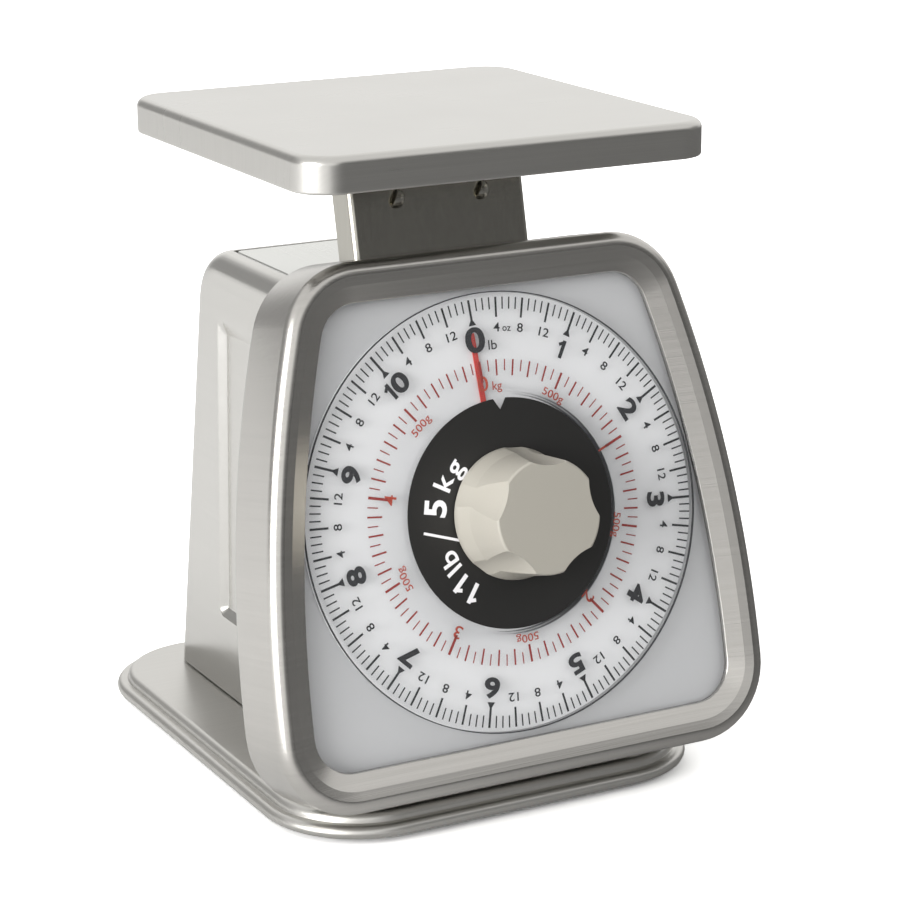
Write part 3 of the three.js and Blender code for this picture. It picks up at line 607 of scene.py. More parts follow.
def addArrow(bm, angle, inner, height):
    half = dialPrint["arrowBase"] / 2
    turn = Matrix.Rotation(-radians(angle), 4, "Z") @ Matrix.Translation((0, inner, height))
    rise = Vector((0, 0, dialPrint["thickness"]))
    tip = dialPrint["arrowTip"]
    length = dialPrint["arrowLength"]
    corners = [(-half, 0, 0), (half, 0, 0), (tip, length, 0), (-tip, length, 0)]
    face = bm.faces.new([bm.verts.new(turn @ Vector(corner)) for corner in corners])
    made = bmesh.ops.extrude_face_region(bm, geom=[face])["geom"]
    bmesh.ops.translate(bm, vec=rise, verts=vertsIn(made))
    bmesh.ops.recalc_face_normals(bm, faces=bm.faces)


# lettering at a radius and an angle, its top outwards, made a mesh before it is placed
def addLetters(bm, words, angle, radius, tall, height, wide=1.0, heavy=0.0, shift=0.0, tilt=0.0):
    text = bpy.data.curves.new("lettering", "FONT")
    text.body = words
    text.size = tall / fontCap
    text.align_x = "CENTER"
    text.offset = heavy
    text.extrude = dialPrint["thickness"] / 2
    text.resolution_u = 5
    holder = bpy.data.objects.new("lettering", text)
    scene.collection.objects.link(holder)
    bpy.context.view_layer.update()
    mesh = bpy.data.meshes.new_from_object(holder.evaluated_get(bpy.context.evaluated_depsgraph_get()))
    turn = Matrix.Rotation(-radians(angle), 4, "Z")
    place = Matrix.Translation((shift, radius, height + dialPrint["thickness"] / 2))
    lean = Matrix.Rotation(radians(tilt), 4, "Z")
    middle = Matrix.Translation((0, -tall / 2, 0))
    mesh.transform(turn @ place @ lean @ Matrix.Diagonal((wide, 1, 1, 1)) @ middle)
    bm.from_mesh(mesh)
    bpy.data.objects.remove(holder)
    bpy.data.curves.remove(text)
    bpy.data.meshes.remove(mesh)


# the figure one, a stem and a flag, as wide as the rest of the face
def addOne(bm, angle, radius, tall, height, stroke, shift=0.0):
    turn = Matrix.Rotation(-radians(angle), 4, "Z") @ Matrix.Translation((shift, radius, height))
    thick = dialPrint["thickness"]
    reach = tall * 0.3
    one = bmesh.new()
    addBox(one, (reach / 2 - stroke, -tall / 2, 0), (reach / 2, tall / 2, thick))
    flag = bmesh.new()
    lean = Matrix.Translation((reach / 2 - stroke / 2, tall / 2 - stroke * 0.55, 0)) \
        @ Matrix.Rotation(radians(34), 4, "Z")
    addBox(flag, (-reach * 1.15, -stroke * 0.42, 0), (stroke * 0.2, stroke * 0.42, thick), lean)
    combine(one, flag, "UNION")
    bmesh.ops.transform(one, matrix=turn, verts=one.verts)
    holder = bpy.data.meshes.new("one")
    one.to_mesh(holder)
    one.free()
    bm.from_mesh(holder)
    bpy.data.meshes.remove(holder)


def makeDial():
    low, high = measure("dial_disc", inHead)
    radius = high.x
    bm = bmesh.new()
    bore = dialSizes["bore"]
    edge = dialSizes["edge"]
    rimRadius = radius - dialSizes["rimGap"]
    turnSection(bm, roundedPath([
        (bore, low.z), (rimRadius, low.z, edge), (rimRadius, high.z, edge), (bore, high.z),
        (bore, low.z),
    ], 3), 128)
    finishPiece(bm, "dialDisc", clearDial, inHead, "dial_disc")

    top = high.z + dialPrint["lift"]
    zero = -dialPrint["zeroTurn"]
    black = bmesh.new()
    # the thin black ring at the rim is painted shade, not print: it stands in for the dark-looking edge of
    # the clear disc
    ring = radius - dialPrint["edgeShadeWidth"]
    printTop = top + dialPrint["thickness"]
    turnSection(black, [
        (ring, low.z), (radius, low.z), (radius, printTop), (ring, printTop), (ring, low.z),
    ], 128)
    count = dialPrint["pounds"] * dialPrint["ounces"]
    for mark in range(count):
        angle = zero + mark * 360 / count
        ounces = mark % dialPrint["ounces"]
        outer = dialPrint["outer"]
        if ounces == 0:
            addMark(black, angle, dialPrint["poundInner"] + 1, outer, dialPrint["poundWidth"], top)
            addArrow(black, angle, dialPrint["poundInner"], top)
        elif ounces % 4 == 0:
            addMark(black, angle, dialPrint["quarterInner"], outer, dialPrint["quarterWidth"], top)
            tall = dialPrint["ounceTall"]
            addLetters(black, str(ounces), angle, dialPrint["ounceAt"], tall, top, 1.15, 0.05)
        else:
            addMark(black, angle, dialPrint["ounceInner"], outer, dialPrint["ounceWidth"], top)
    for pound in range(dialPrint["pounds"]):
        angle = zero + pound * 360 / dialPrint["pounds"]
        tall = dialPrint["zeroTall" if pound == 0 else "poundTall"]
        at = dialPrint["poundAt"]
        if pound in (1, 10):
            shift = dialPrint["tenSpread"][0] if pound == 10 else 0
            addOne(black, angle, at, tall, top, dialPrint["oneStroke"], shift)
        if pound != 1:
            shift = dialPrint["tenSpread"][1] if pound == 10 else 0
            figure = "0" if pound == 10 else str(pound)
            addLetters(black, figure, angle, at, tall, top, 1.3, 0.34, shift)
    addLetters(black, "lb", zero + 6.2, 57.0, 3.2, top, 1.1, 0.02)
    addLetters(black, "oz", zero + 4 * 360 / count + 3.4, 62.6, 2.3, top, 1.0, 0.03)
    finishPiece(black, "dialPrintAndEdgeShade", printAndEdgeShadeBlack, inHead, [], body="dial")

    red = bmesh.new()
    count = dialPrint["kilos"] * dialPrint["perKilo"]
    for mark in range(count):
        angle = zero + mark * 360 / count
        step = max(size for size in dialPrint["redSteps"] if mark % size == 0)
        inner, width = dialPrint["redSteps"][step]
        addMark(red, angle, inner, dialPrint["redOuter"], width, top)
    finishPiece(red, "dialPrintRed", printRed, inHead, [], body="dial")
    orange = bmesh.new()
    for kilo in range(dialPrint["kilos"]):
        angle = zero + kilo * 360 / dialPrint["kilos"]
        tall = dialPrint["kiloZeroTall" if kilo == 0 else "kiloTall"]
        at = dialPrint["kiloAt"] - (0.6 if kilo else 0)
        addLetters(orange, str(kilo), angle, at, tall, top, 1.2, 0.03)
        half = angle + 180 / dialPrint["kilos"]
        addLetters(orange, "500g", half, dialPrint["gramAt"], dialPrint["gramTall"], top, 1.2, 0.02)
    addLetters(orange, "kg", zero + 6.8, 43.2, 2.9, top, 1.0, 0.02)
    finishPiece(orange, "dialNumeralsRed", printOrange, inHead, [], body="dial")

    backLow, backHigh = measure("dial_backing", inHead)
    bm = bmesh.new()
    bore = dialSizes["backBore"]
    edge = dialSizes["backEdge"]
    turnSection(bm, roundedPath([
        (bore, backLow.z), (backHigh.x, backLow.z, edge), (backHigh.x, backHigh.z, edge),
        (bore, backHigh.z), (bore, backLow.z),
    ], 3), 128)
    finishPiece(bm, "dialBack", dialWhite, inHead, "dial_backing")


pointerSizes = {
    "length": 61.7, "tail": 18.0, "wide": 2.3, "tip": 1.9, "thick": 0.5, "hub": 3.0, "rest": 4.4,
    "soft": 0.12, "boreGap": 0.3,
}


def makePointer():
    low, high = measure("pointer", inHead)
    blade = high.z - pointerSizes["thick"]
    bm = bmesh.new()
    turn = Matrix.Rotation(radians(pointerSizes["rest"]), 4, "Z")
    narrow = Matrix.Diagonal((pointerSizes["tip"] / pointerSizes["wide"], 1, 1, 1))
    half = pointerSizes["wide"] / 2
    addBox(bm, (-half, -pointerSizes["tail"], blade), (half, pointerSizes["length"], high.z), turn)
    for vert in bm.verts:
        if (turn.inverted() @ vert.co).y > 0:
            vert.co = turn @ narrow @ turn.inverted() @ vert.co
    soften(bm, pointerSizes["soft"], 2, lambda edge: isSharp(edge, 60))
    hub = bmesh.new()
    addRod(hub, pointerSizes["hub"], low.z, high.z)
    combine(bm, hub, "UNION")
    bore = bmesh.new()
    arbor = measure("pointer_arbor", inHead)[1].x
    addRod(bore, arbor + pointerSizes["boreGap"], low.z - 1, high.z + 1)
    combine(bm, bore)
    finishPiece(bm, "pointerBlade", pointerRed, inHead, "pointer")


makeDial()
makePointer()
print("dial, print and pointer made")


# lens, label and knob

lensSizes = {"inset": 9.6, "boss": 41.0, "bossWall": 0.8, "bossEdge": 0.6}


def makeLens():
    low, high = measure("lens", inHead)
    paneTop = low.z + 0.7
    bm = bmesh.new()
    face = faceOutline(bm, paneTop, lensSizes["inset"])
    made = bmesh.ops.extrude_face_region(bm, geom=[face])["geom"]
    bmesh.ops.translate(bm, vec=(0, 0, low.z - paneTop),
                        verts=vertsIn(made))
    bmesh.ops.recalc_face_normals(bm, faces=bm.faces)
    hole = bmesh.new()
    addRod(hole, lensSizes["boss"] - 0.3, low.z - 2, high.z + 2, steps=96)
    combine(bm, hole)
    boss = bmesh.new()
    wall = lensSizes["bossWall"]
    outer = lensSizes["boss"]
    bore = measure("lens_bush", inHead)[1].x + 0.3
    turnSection(boss, roundedPath([
        (bore, high.z - wall), (outer - wall, high.z - wall), (outer - wall, low.z),
        (outer, low.z), (outer, high.z, lensSizes["bossEdge"]), (bore, high.z), (bore, high.z - wall),
    ], 4), 96)
    combine(bm, boss, "UNION")
    finishPiece(bm, "lensPane", clearLens, inHead, "lens")


labelText = {
    "tall": 7.4,
    "letters": [("1", -144.6, 30.4, 1.0), ("1", -133.6, 30.2, 1.0), ("l", -123.7, 28.6, 0.84),
                ("b", -115.4, 28.0, 0.84), ("5", -78.6, 28.9, 1.04), ("k", -61.3, 28.0, 0.88),
                ("g", -47.0, 27.2, 0.88)],
    "slash": (-99.0, 27.1, 14.6, 0.9, 27.0),     # angle, radius, length, width, tilt
    "notchDepth": 4.0, "notchHalf": 2.45,
}


def makeLabel():
    low, high = measure("center_label", inHead)
    radius = high.x
    bore = measure("lens_bush", inHead)[1].x + 0.6
    bm = bmesh.new()
    turnSection(bm, roundedPath([
        (bore, low.z), (radius, low.z), (radius, high.z, 0.12), (bore, high.z), (bore, low.z),
    ], 2), 128)
    notch = bmesh.new()
    half = labelText["notchHalf"]
    depth = labelText["notchDepth"]
    corners = [(0, radius - depth), (half * 2, radius + depth), (-half * 2, radius + depth)]
    notch.faces.new([notch.verts.new((x, y, low.z - 1)) for x, y in corners])
    made = bmesh.ops.extrude_face_region(notch, geom=notch.faces[:])["geom"]
    bmesh.ops.translate(notch, vec=(0, 0, 3), verts=vertsIn(made))
    bmesh.ops.recalc_face_normals(notch, faces=notch.faces)
    combine(bm, notch)
    finishPiece(bm, "centreLabel", labelBlack, inHead, "center_label")

    white = bmesh.new()
    top = high.z + dialPrint["lift"]
    for letter, angle, at, share in labelText["letters"]:
        tall = labelText["tall"] * share
        if letter == "1":
            addOne(white, angle, at, tall, top, 1.5)
            continue
        heavy = 0.32 if letter.isdigit() else 0.14
        addLetters(white, letter, angle, at, tall, top, 1.15, heavy)
    angle, at, long, wide, tilt = labelText["slash"]
    turn = Matrix.Rotation(-radians(angle), 4, "Z") @ Matrix.Translation((0, at, 0)) \
        @ Matrix.Rotation(-radians(tilt), 4, "Z")
    addBox(white, (-wide / 2, -long / 2, top), (wide / 2, long / 2, top + dialPrint["thickness"]), turn)
    finishPiece(white, "labelLettering", printWhite, inHead, [], body="root")


knobSizes = {
    "base": 22.5, "shoulder": 2.6, "face": 19.4, "edge": 0.9, "grips": 5, "gripTurn": 84.0,
    "scoopRadius": 20.0, "scoopDepth": 2.1, "scoopTilt": 11.6, "bore": 4.0, "soft": 0.35,
    "setBack": 0.3,  # the face stays inside the solid knob
}


def makeKnob():
    low, high = measure("tare_knob", inHead)
    high.z -= knobSizes["setBack"]
    shaftTop = measure("tare_shaft", inHead)[1].z
    bm = bmesh.new()
    turnSection(bm, roundedPath([
        (0, low.z), (knobSizes["base"] - 0.6, low.z), (knobSizes["base"], low.z + 0.8, 0.5),
        (knobSizes["base"] - 0.1, low.z + knobSizes["shoulder"], 1.2),
        (knobSizes["face"] + 1.4, low.z + 9, 6),
        (knobSizes["face"], high.z, knobSizes["edge"]), (0, high.z),
    ], 5), 96)
    for grip in range(knobSizes["grips"]):
        tool = bmesh.new()
        angle = radians(knobSizes["gripTurn"]) + grip * 2 * pi / knobSizes["grips"]
        reach = knobSizes["face"] + knobSizes["scoopRadius"] - knobSizes["scoopDepth"]
        place = Matrix.Rotation(angle, 4, "Z") @ Matrix.Translation((reach, 0, high.z)) \
            @ Matrix.Rotation(-radians(knobSizes["scoopTilt"]), 4, "Y")
        addRod(tool, knobSizes["scoopRadius"], low.z - high.z, knobSizes["scoopRadius"], place, 96)
        combine(bm, tool)
    bore = bmesh.new()
    addRod(bore, knobSizes["bore"], low.z - 1, shaftTop + 0.3)
    combine(bm, bore)
    piece = finishPiece(bm, "tareKnob", knobIvory, inHead, "tare_knob",
                        rim=knobSizes["soft"], sharpAngle=60)
    piece.modifiers["rim"].segments = 3
    piece.modifiers["rim"].angle_limit = radians(18)


makeLens()
makeLabel()
makeKnob()
print("lens, label and knob made")


# rear housing and its cover

housingSizes = {
    "wall": 1.2, "rearSlope": 0.175, "crown": 22.0, "edge": 8.0,
    "recessFront": -10.9, "recessRear": 42.1, "recessLow": 41.0, "recessHigh": 156.0,
    "recessFlare": 5.0, "toolRise": 2.0, "recessDepth": 2.5, "recessCorner": 3.5,
    "rearBevel": 2.6, "topBevel": 6.2, "lowBevel": 3.0,
    "coverHalf": 45.0, "gap": 0.6, "seam": 0.4, "pressedEdge": 0.45,
    "spareFront": 20.0, "spareBelow": 12.0,     # trimmed off again along the bezel and the base
}


# the sheet-metal recess that is pressed into one side
def recessTool(side):
    wallX = measure("rear_housing")[1].x
    tool = bmesh.new()
    sizes = housingSizes
    depth = sizes["recessDepth"]
    corner = sizes["recessCorner"]
    tool.verts.new((sizes["recessFront"], sizes["recessLow"], 0))
    tool.verts.new((sizes["recessRear"] + sizes["recessFlare"], sizes["recessLow"], 0))
    tool.verts.new((sizes["recessRear"], sizes["recessHigh"], 0))
    tool.verts.new((sizes["recessFront"], sizes["recessHigh"], 0))
    face = tool.faces.new(tool.verts)
    bmesh.ops.bevel(tool, geom=tool.verts[:], offset=corner, affect="VERTICES", segments=6,
                    profile=0.5, material=-1)
    face = max(tool.faces, key=lambda item: item.calc_area())
    if face.normal.z > 0:
        face.normal_flip()
    # the floor of the recess, drawn in from its rim by a bevel that differs from side to side
    bmesh.ops.inset_region(tool, faces=[face], thickness=sizes["rearBevel"], depth=depth,
                           use_even_offset=True, use_boundary=True)
    middle = (sizes["recessHigh"] + sizes["recessLow"]) / 2
    half = (sizes["recessHigh"] - sizes["recessLow"]) / 2 - sizes["rearBevel"]
    for vert in face.verts:
        share = (vert.co.y - middle) / half
        extraTop = sizes["topBevel"] - sizes["rearBevel"]
        extraLow = sizes["lowBevel"] - sizes["rearBevel"]
        vert.co.y -= (extraTop if share > 0 else -extraLow) * min(abs(share), 1)
    made = bmesh.ops.extrude_edge_only(tool, edges=openEdges(tool))["geom"]
    bmesh.ops.translate(tool, vec=(0, 0, sizes["toolRise"]), verts=vertsIn(made))
    bmesh.ops.holes_fill(tool, edges=openEdges(tool), sides=0)
    bmesh.ops.recalc_face_normals(tool, faces=tool.faces)
    # drawn in (y, z) with its depth along z, so its axes are turned round
    turn = Matrix(((0, 0, 1, 0), (1, 0, 0, 0), (0, 1, 0, 0), (0, 0, 0, 1)))
    place = Matrix.Translation((wallX, 0, 0))
    flip = Matrix.Diagonal((side, 1, 1, 1))
    bmesh.ops.transform(tool, matrix=flip @ place @ turn, verts=tool.verts)
    bmesh.ops.recalc_face_normals(tool, faces=tool.faces)
    return tool


def makeHousing():
    sizes = housingSizes
    low, high = measure("rear_housing")
    half = high.x
    slopeAngle = atan(sizes["rearSlope"])
    rearAtFloor = high.y
    top = high.z
    crown = sizes["crown"]
    centreZ = top - crown
    centreY = rearAtFloor - (centreZ - low.z) * sizes["rearSlope"] - crown / cos(slopeAngle)
    front = low.y - sizes["spareFront"]
    under = low.z - sizes["spareBelow"]
    bm = bmesh.new()
    vert = bm.verts.new((-half, front, under))
    vert = stretch(bm, vert, (0, rearAtFloor + sizes["spareBelow"] * sizes["rearSlope"] - front, 0))
    tangent = Vector((-half, centreY + crown * cos(slopeAngle), centreZ + crown * sin(slopeAngle)))
    vert = stretch(bm, vert, tangent - vert.co)
    vert = swing(bm, vert, (-half, centreY, centreZ), pi / 2 - slopeAngle, 16, (1, 0, 0))
    stretch(bm, vert, (0, front - vert.co.y, 0))
    face = bmesh.ops.contextual_create(bm, geom=bm.verts[:])["faces"][0]
    made = bmesh.ops.extrude_face_region(bm, geom=[face])["geom"]
    bmesh.ops.translate(bm, vec=(2 * half, 0, 0), verts=vertsIn(made))
    bmesh.ops.recalc_face_normals(bm, faces=bm.faces)

    def onRim(edge):
        first, second = (vert.co for vert in edge.verts)
        onSide = abs(abs(first.x) - half) < 0.01 and abs(first.x - second.x) < 0.01
        inFront = max(first.y, second.y) < front + 0.1
        below = max(first.z, second.z) < under + 0.1
        return onSide and not inFront and not below

    soften(bm, sizes["edge"], 8, onRim)
    for side in (-1, 1):
        combine(bm, recessTool(side))

    def onRecess(edge):
        middle = (edge.verts[0].co + edge.verts[1].co) / 2
        inside = sizes["recessFront"] - 1 < middle.y < sizes["recessRear"] + 6
        return inside and abs(middle.x) > half - 4 and sizes["recessLow"] - 1 < middle.z \
            < sizes["recessHigh"] + 1 and isSharp(edge, 12)

    soften(bm, sizes["pressedEdge"], 3, onRecess)
    trim(bm, (0, 0, low.z + sizes["seam"]), (0, 0, -1))
    joint = measure("front_bezel", inHead)[0].z - 0.3
    trim(bm, headToScale @ Vector((0, 0, joint)), faceNormal)
    # the opening that the cover lies in
    hatch = sizes["coverHalf"] + sizes["gap"]
    hatchRear = measure("top_cover")[1].y + sizes["gap"]
    cuts = [((hatch, 0, 0), (1, 0, 0)), ((-hatch, 0, 0), (1, 0, 0)), ((0, hatchRear, 0), (0, 1, 0))]
    for point, normal in cuts:
        bmesh.ops.bisect_plane(bm, geom=bm.verts[:] + bm.edges[:] + bm.faces[:], dist=0.0001,
                               plane_co=point, plane_no=normal)
    gone = []
    for face in bm.faces:
        middle = face.calc_center_median()
        if middle.z > top - 0.05 and abs(middle.x) < hatch and middle.y < hatchRear:
            gone.append(face)
    bmesh.ops.delete(bm, geom=gone, context="FACES")
    finishPiece(bm, "housingShell", litHousingSteel, inScale, "rear_housing",
                wall=sizes["wall"])


coverSizes = {"slotHalf": 35.0, "slotGap": 1.0, "corner": 2.0, "edge": 0.3}


def makeCover():
    low, high = measure("top_cover")
    postRear = measure("support_post", inHead)[0].z
    lean = tan(leanAngle)
    joint = headToScale @ Vector((0, 0, measure("front_bezel", inHead)[0].z - 0.3))
    frontY = joint.y + (high.z - joint.z) * lean
    slotRear = headToScale @ Vector((0, 0, postRear - coverSizes["slotGap"]))
    notchY = slotRear.y + (high.z - slotRear.z) * lean
    half = high.x
    slot = coverSizes["slotHalf"]
    bm = bmesh.new()
    vert = bm.verts.new((0, high.y, low.z))
    for move in ((half, 0, 0), (0, frontY - high.y, 0), (slot - half, 0, 0), (0, notchY - frontY, 0),
                 (-slot, 0, 0)):
        vert = stretch(bm, vert, move)
    mirrorAcross(bm)
    face = fillOutline(bm)
    corners = [v for v in bm.verts if abs(v.co.y - frontY) > 0.1 and abs(v.co.x) > 1]
    bmesh.ops.bevel(bm, geom=corners, offset=coverSizes["corner"], affect="VERTICES", segments=5,
                    profile=0.5, material=-1)
    face = bm.faces[:][0] if len(bm.faces) == 1 else max(bm.faces, key=lambda item: item.calc_area())
    bmesh.ops.inset_region(bm, faces=[face], thickness=0, depth=high.z - low.z - coverSizes["edge"],
                           use_even_offset=True, use_boundary=True)
    bmesh.ops.inset_region(bm, faces=[face], thickness=coverSizes["edge"], depth=coverSizes["edge"],
                           use_even_offset=True, use_boundary=True)
    bmesh.ops.holes_fill(bm, edges=openEdges(bm), sides=0)
    bmesh.ops.recalc_face_normals(bm, faces=bm.faces)
    finishPiece(bm, "coverPlate", litCoverSteel, inScale, "top_cover")


makeHousing()
makeCover()
print("rear housing and cover made")


# post

postSizes = {
    "front": -23.9,                 # the outer face of the web, behind the face of the dial
    "wall": 1.2, "bend": 2.2, "spareTop": 5.0, "hoodWall": 0.7,
    "lugAt": (16.4, 109.5), "lugRadius": 3.1, "hood": 3.6, "hoodHeight": 2.2,
}


def makePost():
    low, high = measure("support_post", inHead)
    front = postSizes["front"]
    half = high.x
    rear = low.z
    topZ = measure("support_post")[1].z
    bm = bmesh.new()
    bend = postSizes["bend"]
    vert = bm.verts.new((half, low.y, rear))
    vert = stretch(bm, vert, (0, 0, front - bend - rear))
    vert = swing(bm, vert, (half - bend, low.y, front - bend), -pi / 2, 8, (0, 1, 0))
    stretch(bm, vert, (bend - half, 0, 0))
    mirrorAcross(bm)
    made = bmesh.ops.extrude_edge_only(bm, edges=bm.edges[:])["geom"]
    bmesh.ops.translate(bm, vec=(0, high.y + postSizes["spareTop"] - low.y, 0),
                        verts=vertsIn(made))
    bmesh.ops.recalc_face_normals(bm, faces=bm.faces)
    web = max(bm.faces, key=lambda item: item.calc_area())
    if web.normal.z < 0:
        bmesh.ops.reverse_faces(bm, faces=bm.faces)
    toHead = headToScale.inverted()
    up = (toHead.to_3x3() @ Vector((0, 0, 1))).normalized()
    trim(bm, toHead @ Vector((0, 0, topZ)), up)
    bmesh.ops.solidify(bm, geom=bm.faces[:], thickness=postSizes["wall"])
    for side in (-1, 1):
        hole = bmesh.new()
        floor = front - postSizes["wall"] + 0.25
        place = Matrix.Translation((side * postSizes["lugAt"][0], postSizes["lugAt"][1], floor))
        addRod(hole, postSizes["lugRadius"], 0, 6, place, 32)
        combine(bm, hole)
        hood = bmesh.new()
        bmesh.ops.create_uvsphere(hood, u_segments=32, v_segments=16, radius=postSizes["hood"])
        trim(hood, (0, 0, 0), (0, 0, -1))
        trim(hood, (-0.6, 0, 0), (-0.9, 0.45, 0))
        bmesh.ops.scale(hood, vec=(1, 1, postSizes["hoodHeight"] / postSizes["hood"]), verts=hood.verts)
        bmesh.ops.recalc_face_normals(hood, faces=hood.faces)
        bmesh.ops.solidify(hood, geom=hood.faces[:], thickness=postSizes["hoodWall"])
        place = Matrix.Translation((side * postSizes["lugAt"][0], postSizes["lugAt"][1], front - 0.2))
        bmesh.ops.transform(hood, matrix=place, verts=hood.verts)
        holder = bpy.data.meshes.new("hood")
        hood.to_mesh(holder)
        hood.free()
        bm.from_mesh(holder)
        bpy.data.meshes.remove(holder)
    finishPiece(bm, "postChannel", shadedPostSteel, inHead, "support_post")


makePost()
print("post made")


# platform

platformSizes = {
    "corner": 13.5, "edge": 3.0, "wall": 1.2, "hem": 2.4, "hemBend": 0.9, "inwards": 12.0,
}


def makePlatform():
    low, high = measure("platform")
    sizes = platformSizes
    tall = high.z - low.z
    section = roundedPath([
        (sizes["hem"], 0), (0, 0, sizes["hemBend"]), (0, tall, sizes["edge"]), (sizes["inwards"], tall),
    ], 8)
    bm = bmesh.new()
    face = roundedRectangle(bm, low, high, sizes["corner"], low.z)
    bmesh.ops.inset_region(bm, faces=[face], thickness=sizes["hem"], depth=0, use_even_offset=True,
                           use_boundary=True)
    bmesh.ops.delete(bm, geom=[item for item in bm.faces if item is not face], context="FACES")
    raiseAlong(bm, face, section)
    finishPiece(bm, "platformTray", platformSteel, inScale, "platform",
                wall=sizes["wall"])


makePlatform()
print("platform made")


# base and feet

baseSizes = {
    "corner": 36.0, "wall": 1.2, "bead": 2.39, "beadInset": 4.0, "under": 3.4, "creaseBend": 0.25,
    "crownBend": 2.6, "inwards": 16.0, "lift": 2.5, "beadTall": 4.8,
}


def makeBase():
    low, high = measure("base_plate")
    sizes = baseSizes
    under = sizes["lift"]
    beadTop = under + sizes["beadTall"]
    section = roundedPath([
        (sizes["under"], under), (0, under, sizes["bead"]), (0, beadTop, sizes["bead"]),
        (sizes["beadInset"], beadTop, sizes["creaseBend"]),
        (sizes["beadInset"] + 0.5, high.z, sizes["crownBend"]), (sizes["inwards"], high.z),
    ], 7)
    bm = bmesh.new()
    face = roundedRectangle(bm, low, high, sizes["corner"], under, 18)
    bmesh.ops.inset_region(bm, faces=[face], thickness=sizes["under"], depth=0, use_even_offset=True,
                           use_boundary=True)
    bmesh.ops.delete(bm, geom=[item for item in bm.faces if item is not face], context="FACES")
    raiseAlong(bm, face, section)
    finishPiece(bm, "basePan", baseSteel, inScale, "base_plate", wall=sizes["wall"])


footSizes = {"flare": 1.2, "edge": 0.8, "dimple": 3.0, "dimpleDepth": 0.8, "neck": 7.4}


def makeFeet():
    for number in range(1, 5):
        node = "rubber_foot_" + str(number)
        low, high = measure(node)
        radius = (high.x - low.x) / 2
        centre = ((high.x + low.x) / 2, (high.y + low.y) / 2, low.z)
        tall = high.z - low.z
        bm = bmesh.new()
        turnSection(bm, roundedPath([
            (0, footSizes["dimpleDepth"]), (footSizes["dimple"], footSizes["dimpleDepth"], 0.4),
            (footSizes["dimple"] + 0.6, 0, 0.3), (radius - footSizes["flare"], 0, footSizes["edge"]),
            (radius, tall * 0.45, footSizes["edge"]), (footSizes["neck"], tall * 0.6, 0.3),
            (footSizes["neck"], tall), (0, tall),
        ], 4), 40, centre)
        finishPiece(bm, "foot" + str(number), blackRubber, inScale, node)


makeBase()
makeFeet()
print("base and feet made")


# screws

screwSizes = {"slot": 0.62, "slotDepth": 0.9, "edge": 0.25}


# a pan head with a cross recess, its top towards +z, its seat at zero
def screwHead(bm, radius, tall):
    turnSection(bm, roundedPath([
        (0, 0), (radius, 0, screwSizes["edge"]), (radius * 0.94, tall * 0.55, 0.4),
        (radius * 0.62, tall, 0.5), (0, tall),
    ], 4), 32)
    cross = bmesh.new()
    reach = radius * 0.6
    half = screwSizes["slot"] / 2
    floor = tall - screwSizes["slotDepth"]
    addBox(cross, (-reach, -half, floor), (reach, half, tall + 1))
    other = bmesh.new()
    addBox(other, (-half, -reach, floor), (half, reach, tall + 1))
    combine(cross, other, "UNION")
    combine(bm, cross)


def makeScrews():
    backward = Matrix.Rotation(pi, 4, "Y")
    # the rear wall leans forward, and its screws stand square to it
    tilt = pi / 2 - atan(housingSizes["rearSlope"])
    onWall = Matrix.Rotation(-tilt, 4, "X")
    for side in ("left", "right"):
        name = "rear_screw_" + side
        low, high = measure(name, inScale @ onWall)
        bm = bmesh.new()
        screwHead(bm, (high.x - low.x) / 2, high.z - low.z)
        place = Matrix.Translation(((low.x + high.x) / 2, (low.y + high.y) / 2, low.z))
        finishPiece(bm, "RearScrew" + side.title(), zincSteel, inScale @ onWall @ place, name)
    for number in range(1, 5):
        name = "pan_screw_" + str(number)
        low, high = measure(name, inHead)
        bm = bmesh.new()
        screwHead(bm, (high.x - low.x) / 2, high.z - low.z)
        place = Matrix.Translation(((low.x + high.x) / 2, (low.y + high.y) / 2, high.z)) @ backward
        finishPiece(bm, "PanScrew" + str(number), zincSteel, inHead @ place, name)


makeScrews()
print("screws made")


# the CAD pieces that stay

keptFinishes = [
    (zincSteel, ["platform_bracket", "movement_bracket", "upper_link", "lower_link", "load_frame",
                 "spring_bridge", "mechanism_frame"]),
    (brightSteel, ["upper_load_pin", "lower_load_pin", "upper_frame_pin", "lower_frame_pin",
                   "pointer_arbor", "dashpot_rod", "spring_left", "spring_right"]),
    (brass, ["pinion", "rack", "front_bush", "rear_bush", "lens_bush", "tare_shaft",
             "spring_adjuster_left", "spring_adjuster_right", "dashpot_cylinder"]),
    (whiteNylon, ["rack_guide", "dashpot_piston", "dial_hub"]),
    (blackRubber, ["platform_pad_1", "platform_pad_2", "platform_pad_3", "platform_pad_4"]),
]


def dressKept():
    for material, names in keptFinishes:
        for name in names:
            mesh = frame["nodes"][name].data
            mesh.materials.clear()
            mesh.materials.append(material)


dressKept()


# floor and light

stageSizes = {
    "floor": 12.0,
    "gain": 1.75,                               # how pale the camera sees the floor
    "shadeRun": (-0.9, 0.3), "shadeFrom": -0.25, "shadeTo": 0.22,
    "nearShade": 0.18, "farShade": 0.84,        # how the scale's metal sees it
}


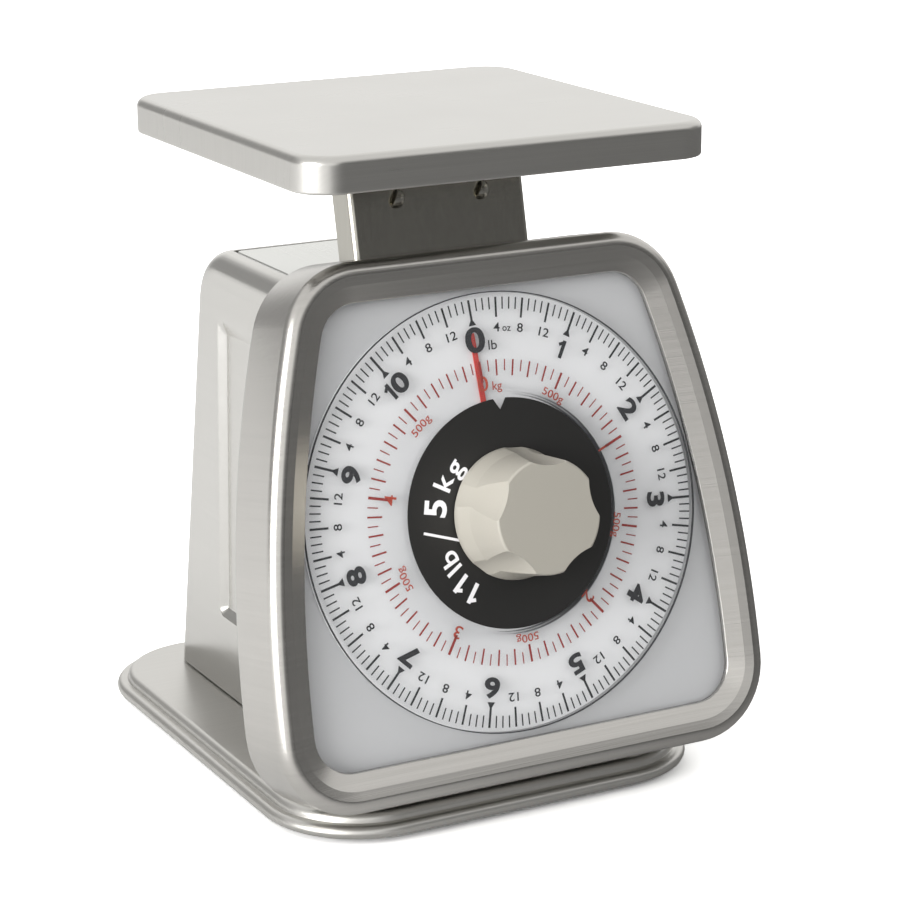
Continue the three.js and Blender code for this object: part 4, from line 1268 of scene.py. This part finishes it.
def makeFloor():
    bm = bmesh.new()
    bmesh.ops.create_grid(bm, x_segments=1, y_segments=1, size=stageSizes["floor"] / 2)
    mesh = bpy.data.meshes.new("floor")
    bm.to_mesh(mesh)
    bm.free()
    floor = bpy.data.objects.new("floor", mesh)
    scene.collection.objects.link(floor)
    material = bpy.data.materials.new("floorPaper")
    material.use_nodes = True
    tree = material.node_tree
    tree.nodes.remove(tree.nodes["Principled BSDF"])
    place = addNode(tree, "TexCoord").outputs["Object"]
    across = addNode(tree, "VectorMath", {0: place, 1: (*stageSizes["shadeRun"], 0)},
                     operation="DOT_PRODUCT").outputs["Value"]
    level = addNode(tree, "MapRange", {
        "Value": across, "From Min": stageSizes["shadeFrom"], "From Max": stageSizes["shadeTo"],
        "To Min": stageSizes["nearShade"], "To Max": stageSizes["farShade"],
    }, interpolation_type="SMOOTHSTEP").outputs["Result"]
    tint = addNode(tree, "CombineColor", {"Red": level, "Green": level, "Blue": level}).outputs[0]
    seen = addNode(tree, "LightPath").outputs["Is Camera Ray"]
    gain = stageSizes["gain"]
    colour = blendColours(tree, seen, tint, (gain, gain, gain, 1))
    paper = addNode(tree, "BsdfDiffuse", {"Color": colour})
    tree.links.new(paper.outputs[0], tree.nodes["Material Output"].inputs["Surface"])
    mesh.materials.append(material)


# where the studio is lighter or darker than its general glow: direction, the cosines between which
# it fades in, and its level
studioLobes = [
    ((0.44, 0.86, 0.26), 0.50, 0.90, 1.05),     # behind, over the platform
    ((-0.60, 0.79, 0.05), 0.66, 0.90, 0.38),
    ((-0.93, -0.36, 0.10), 0.90, 0.955, 7.0),  # the key softbox
    ((-0.36, -0.92, 0.16), 0.89, 0.97, 1.10),
    ((0.52, -0.85, 0.02), 0.80, 0.93, 0.14),    # the unlit side
    ((0.97, -0.25, -0.02), 0.86, 0.96, 0.22),
]
studioGlow = {"low": 0.30, "high": 0.90, "from": -0.05, "to": 0.35}

# name, place, aim, size across and up, strength, and whether the metal mirrors it
softLights = [
    ("sideFill", (-1.6, -0.35, 0.45), (0, 0, 0.12), (0.8, 0.8), 17, False),
    ("frontFill", (-0.5, -1.6, 0.9), (0, 0, 0.12), (1.2, 0.9), 5, False),
]


def makeLights():
    for name, place, aim, (across, up), strength, mirrored in softLights:
        data = bpy.data.lights.new(name, "AREA")
        data.shape = "RECTANGLE"
        data.size = across
        data.size_y = up
        data.energy = strength
        light = bpy.data.objects.new(name, data)
        scene.collection.objects.link(light)
        light.location = place
        light.rotation_euler = (Vector(aim) - Vector(place)).to_track_quat("-Z", "Y").to_euler()
        light.visible_glossy = mirrored
    world = bpy.data.worlds.new("studio")
    scene.world = world
    world.use_nodes = True
    tree = world.node_tree
    sky = tree.nodes["Background"]
    direction = addNode(tree, "TexCoord").outputs["Generated"]
    height = addNode(tree, "SeparateXYZ", {0: direction}).outputs["Z"]
    level = spread(tree, height, studioGlow["low"], studioGlow["high"], studioGlow["from"], studioGlow["to"])
    for toward, start, full, strength in studioLobes:
        along = addNode(tree, "VectorMath", {0: direction, 1: Vector(toward).normalized()},
                        operation="DOT_PRODUCT").outputs["Value"]
        share = addNode(tree, "MapRange", {
            "Value": along, "From Min": start, "From Max": full,
        }, interpolation_type="SMOOTHSTEP").outputs["Result"]
        level = addNode(tree, "Mix", {0: share, 2: level, 3: strength}).outputs[0]
    seen = addNode(tree, "LightPath").outputs["Is Camera Ray"]
    level = addNode(tree, "Mix", {0: seen, 2: level, 3: 1.0}).outputs[0]
    tree.links.new(level, sky.inputs["Strength"])
    sky.inputs["Color"].default_value = (1.0, 0.995, 0.98, 1)


makeFloor()
makeLights()
print("floor and lights made")
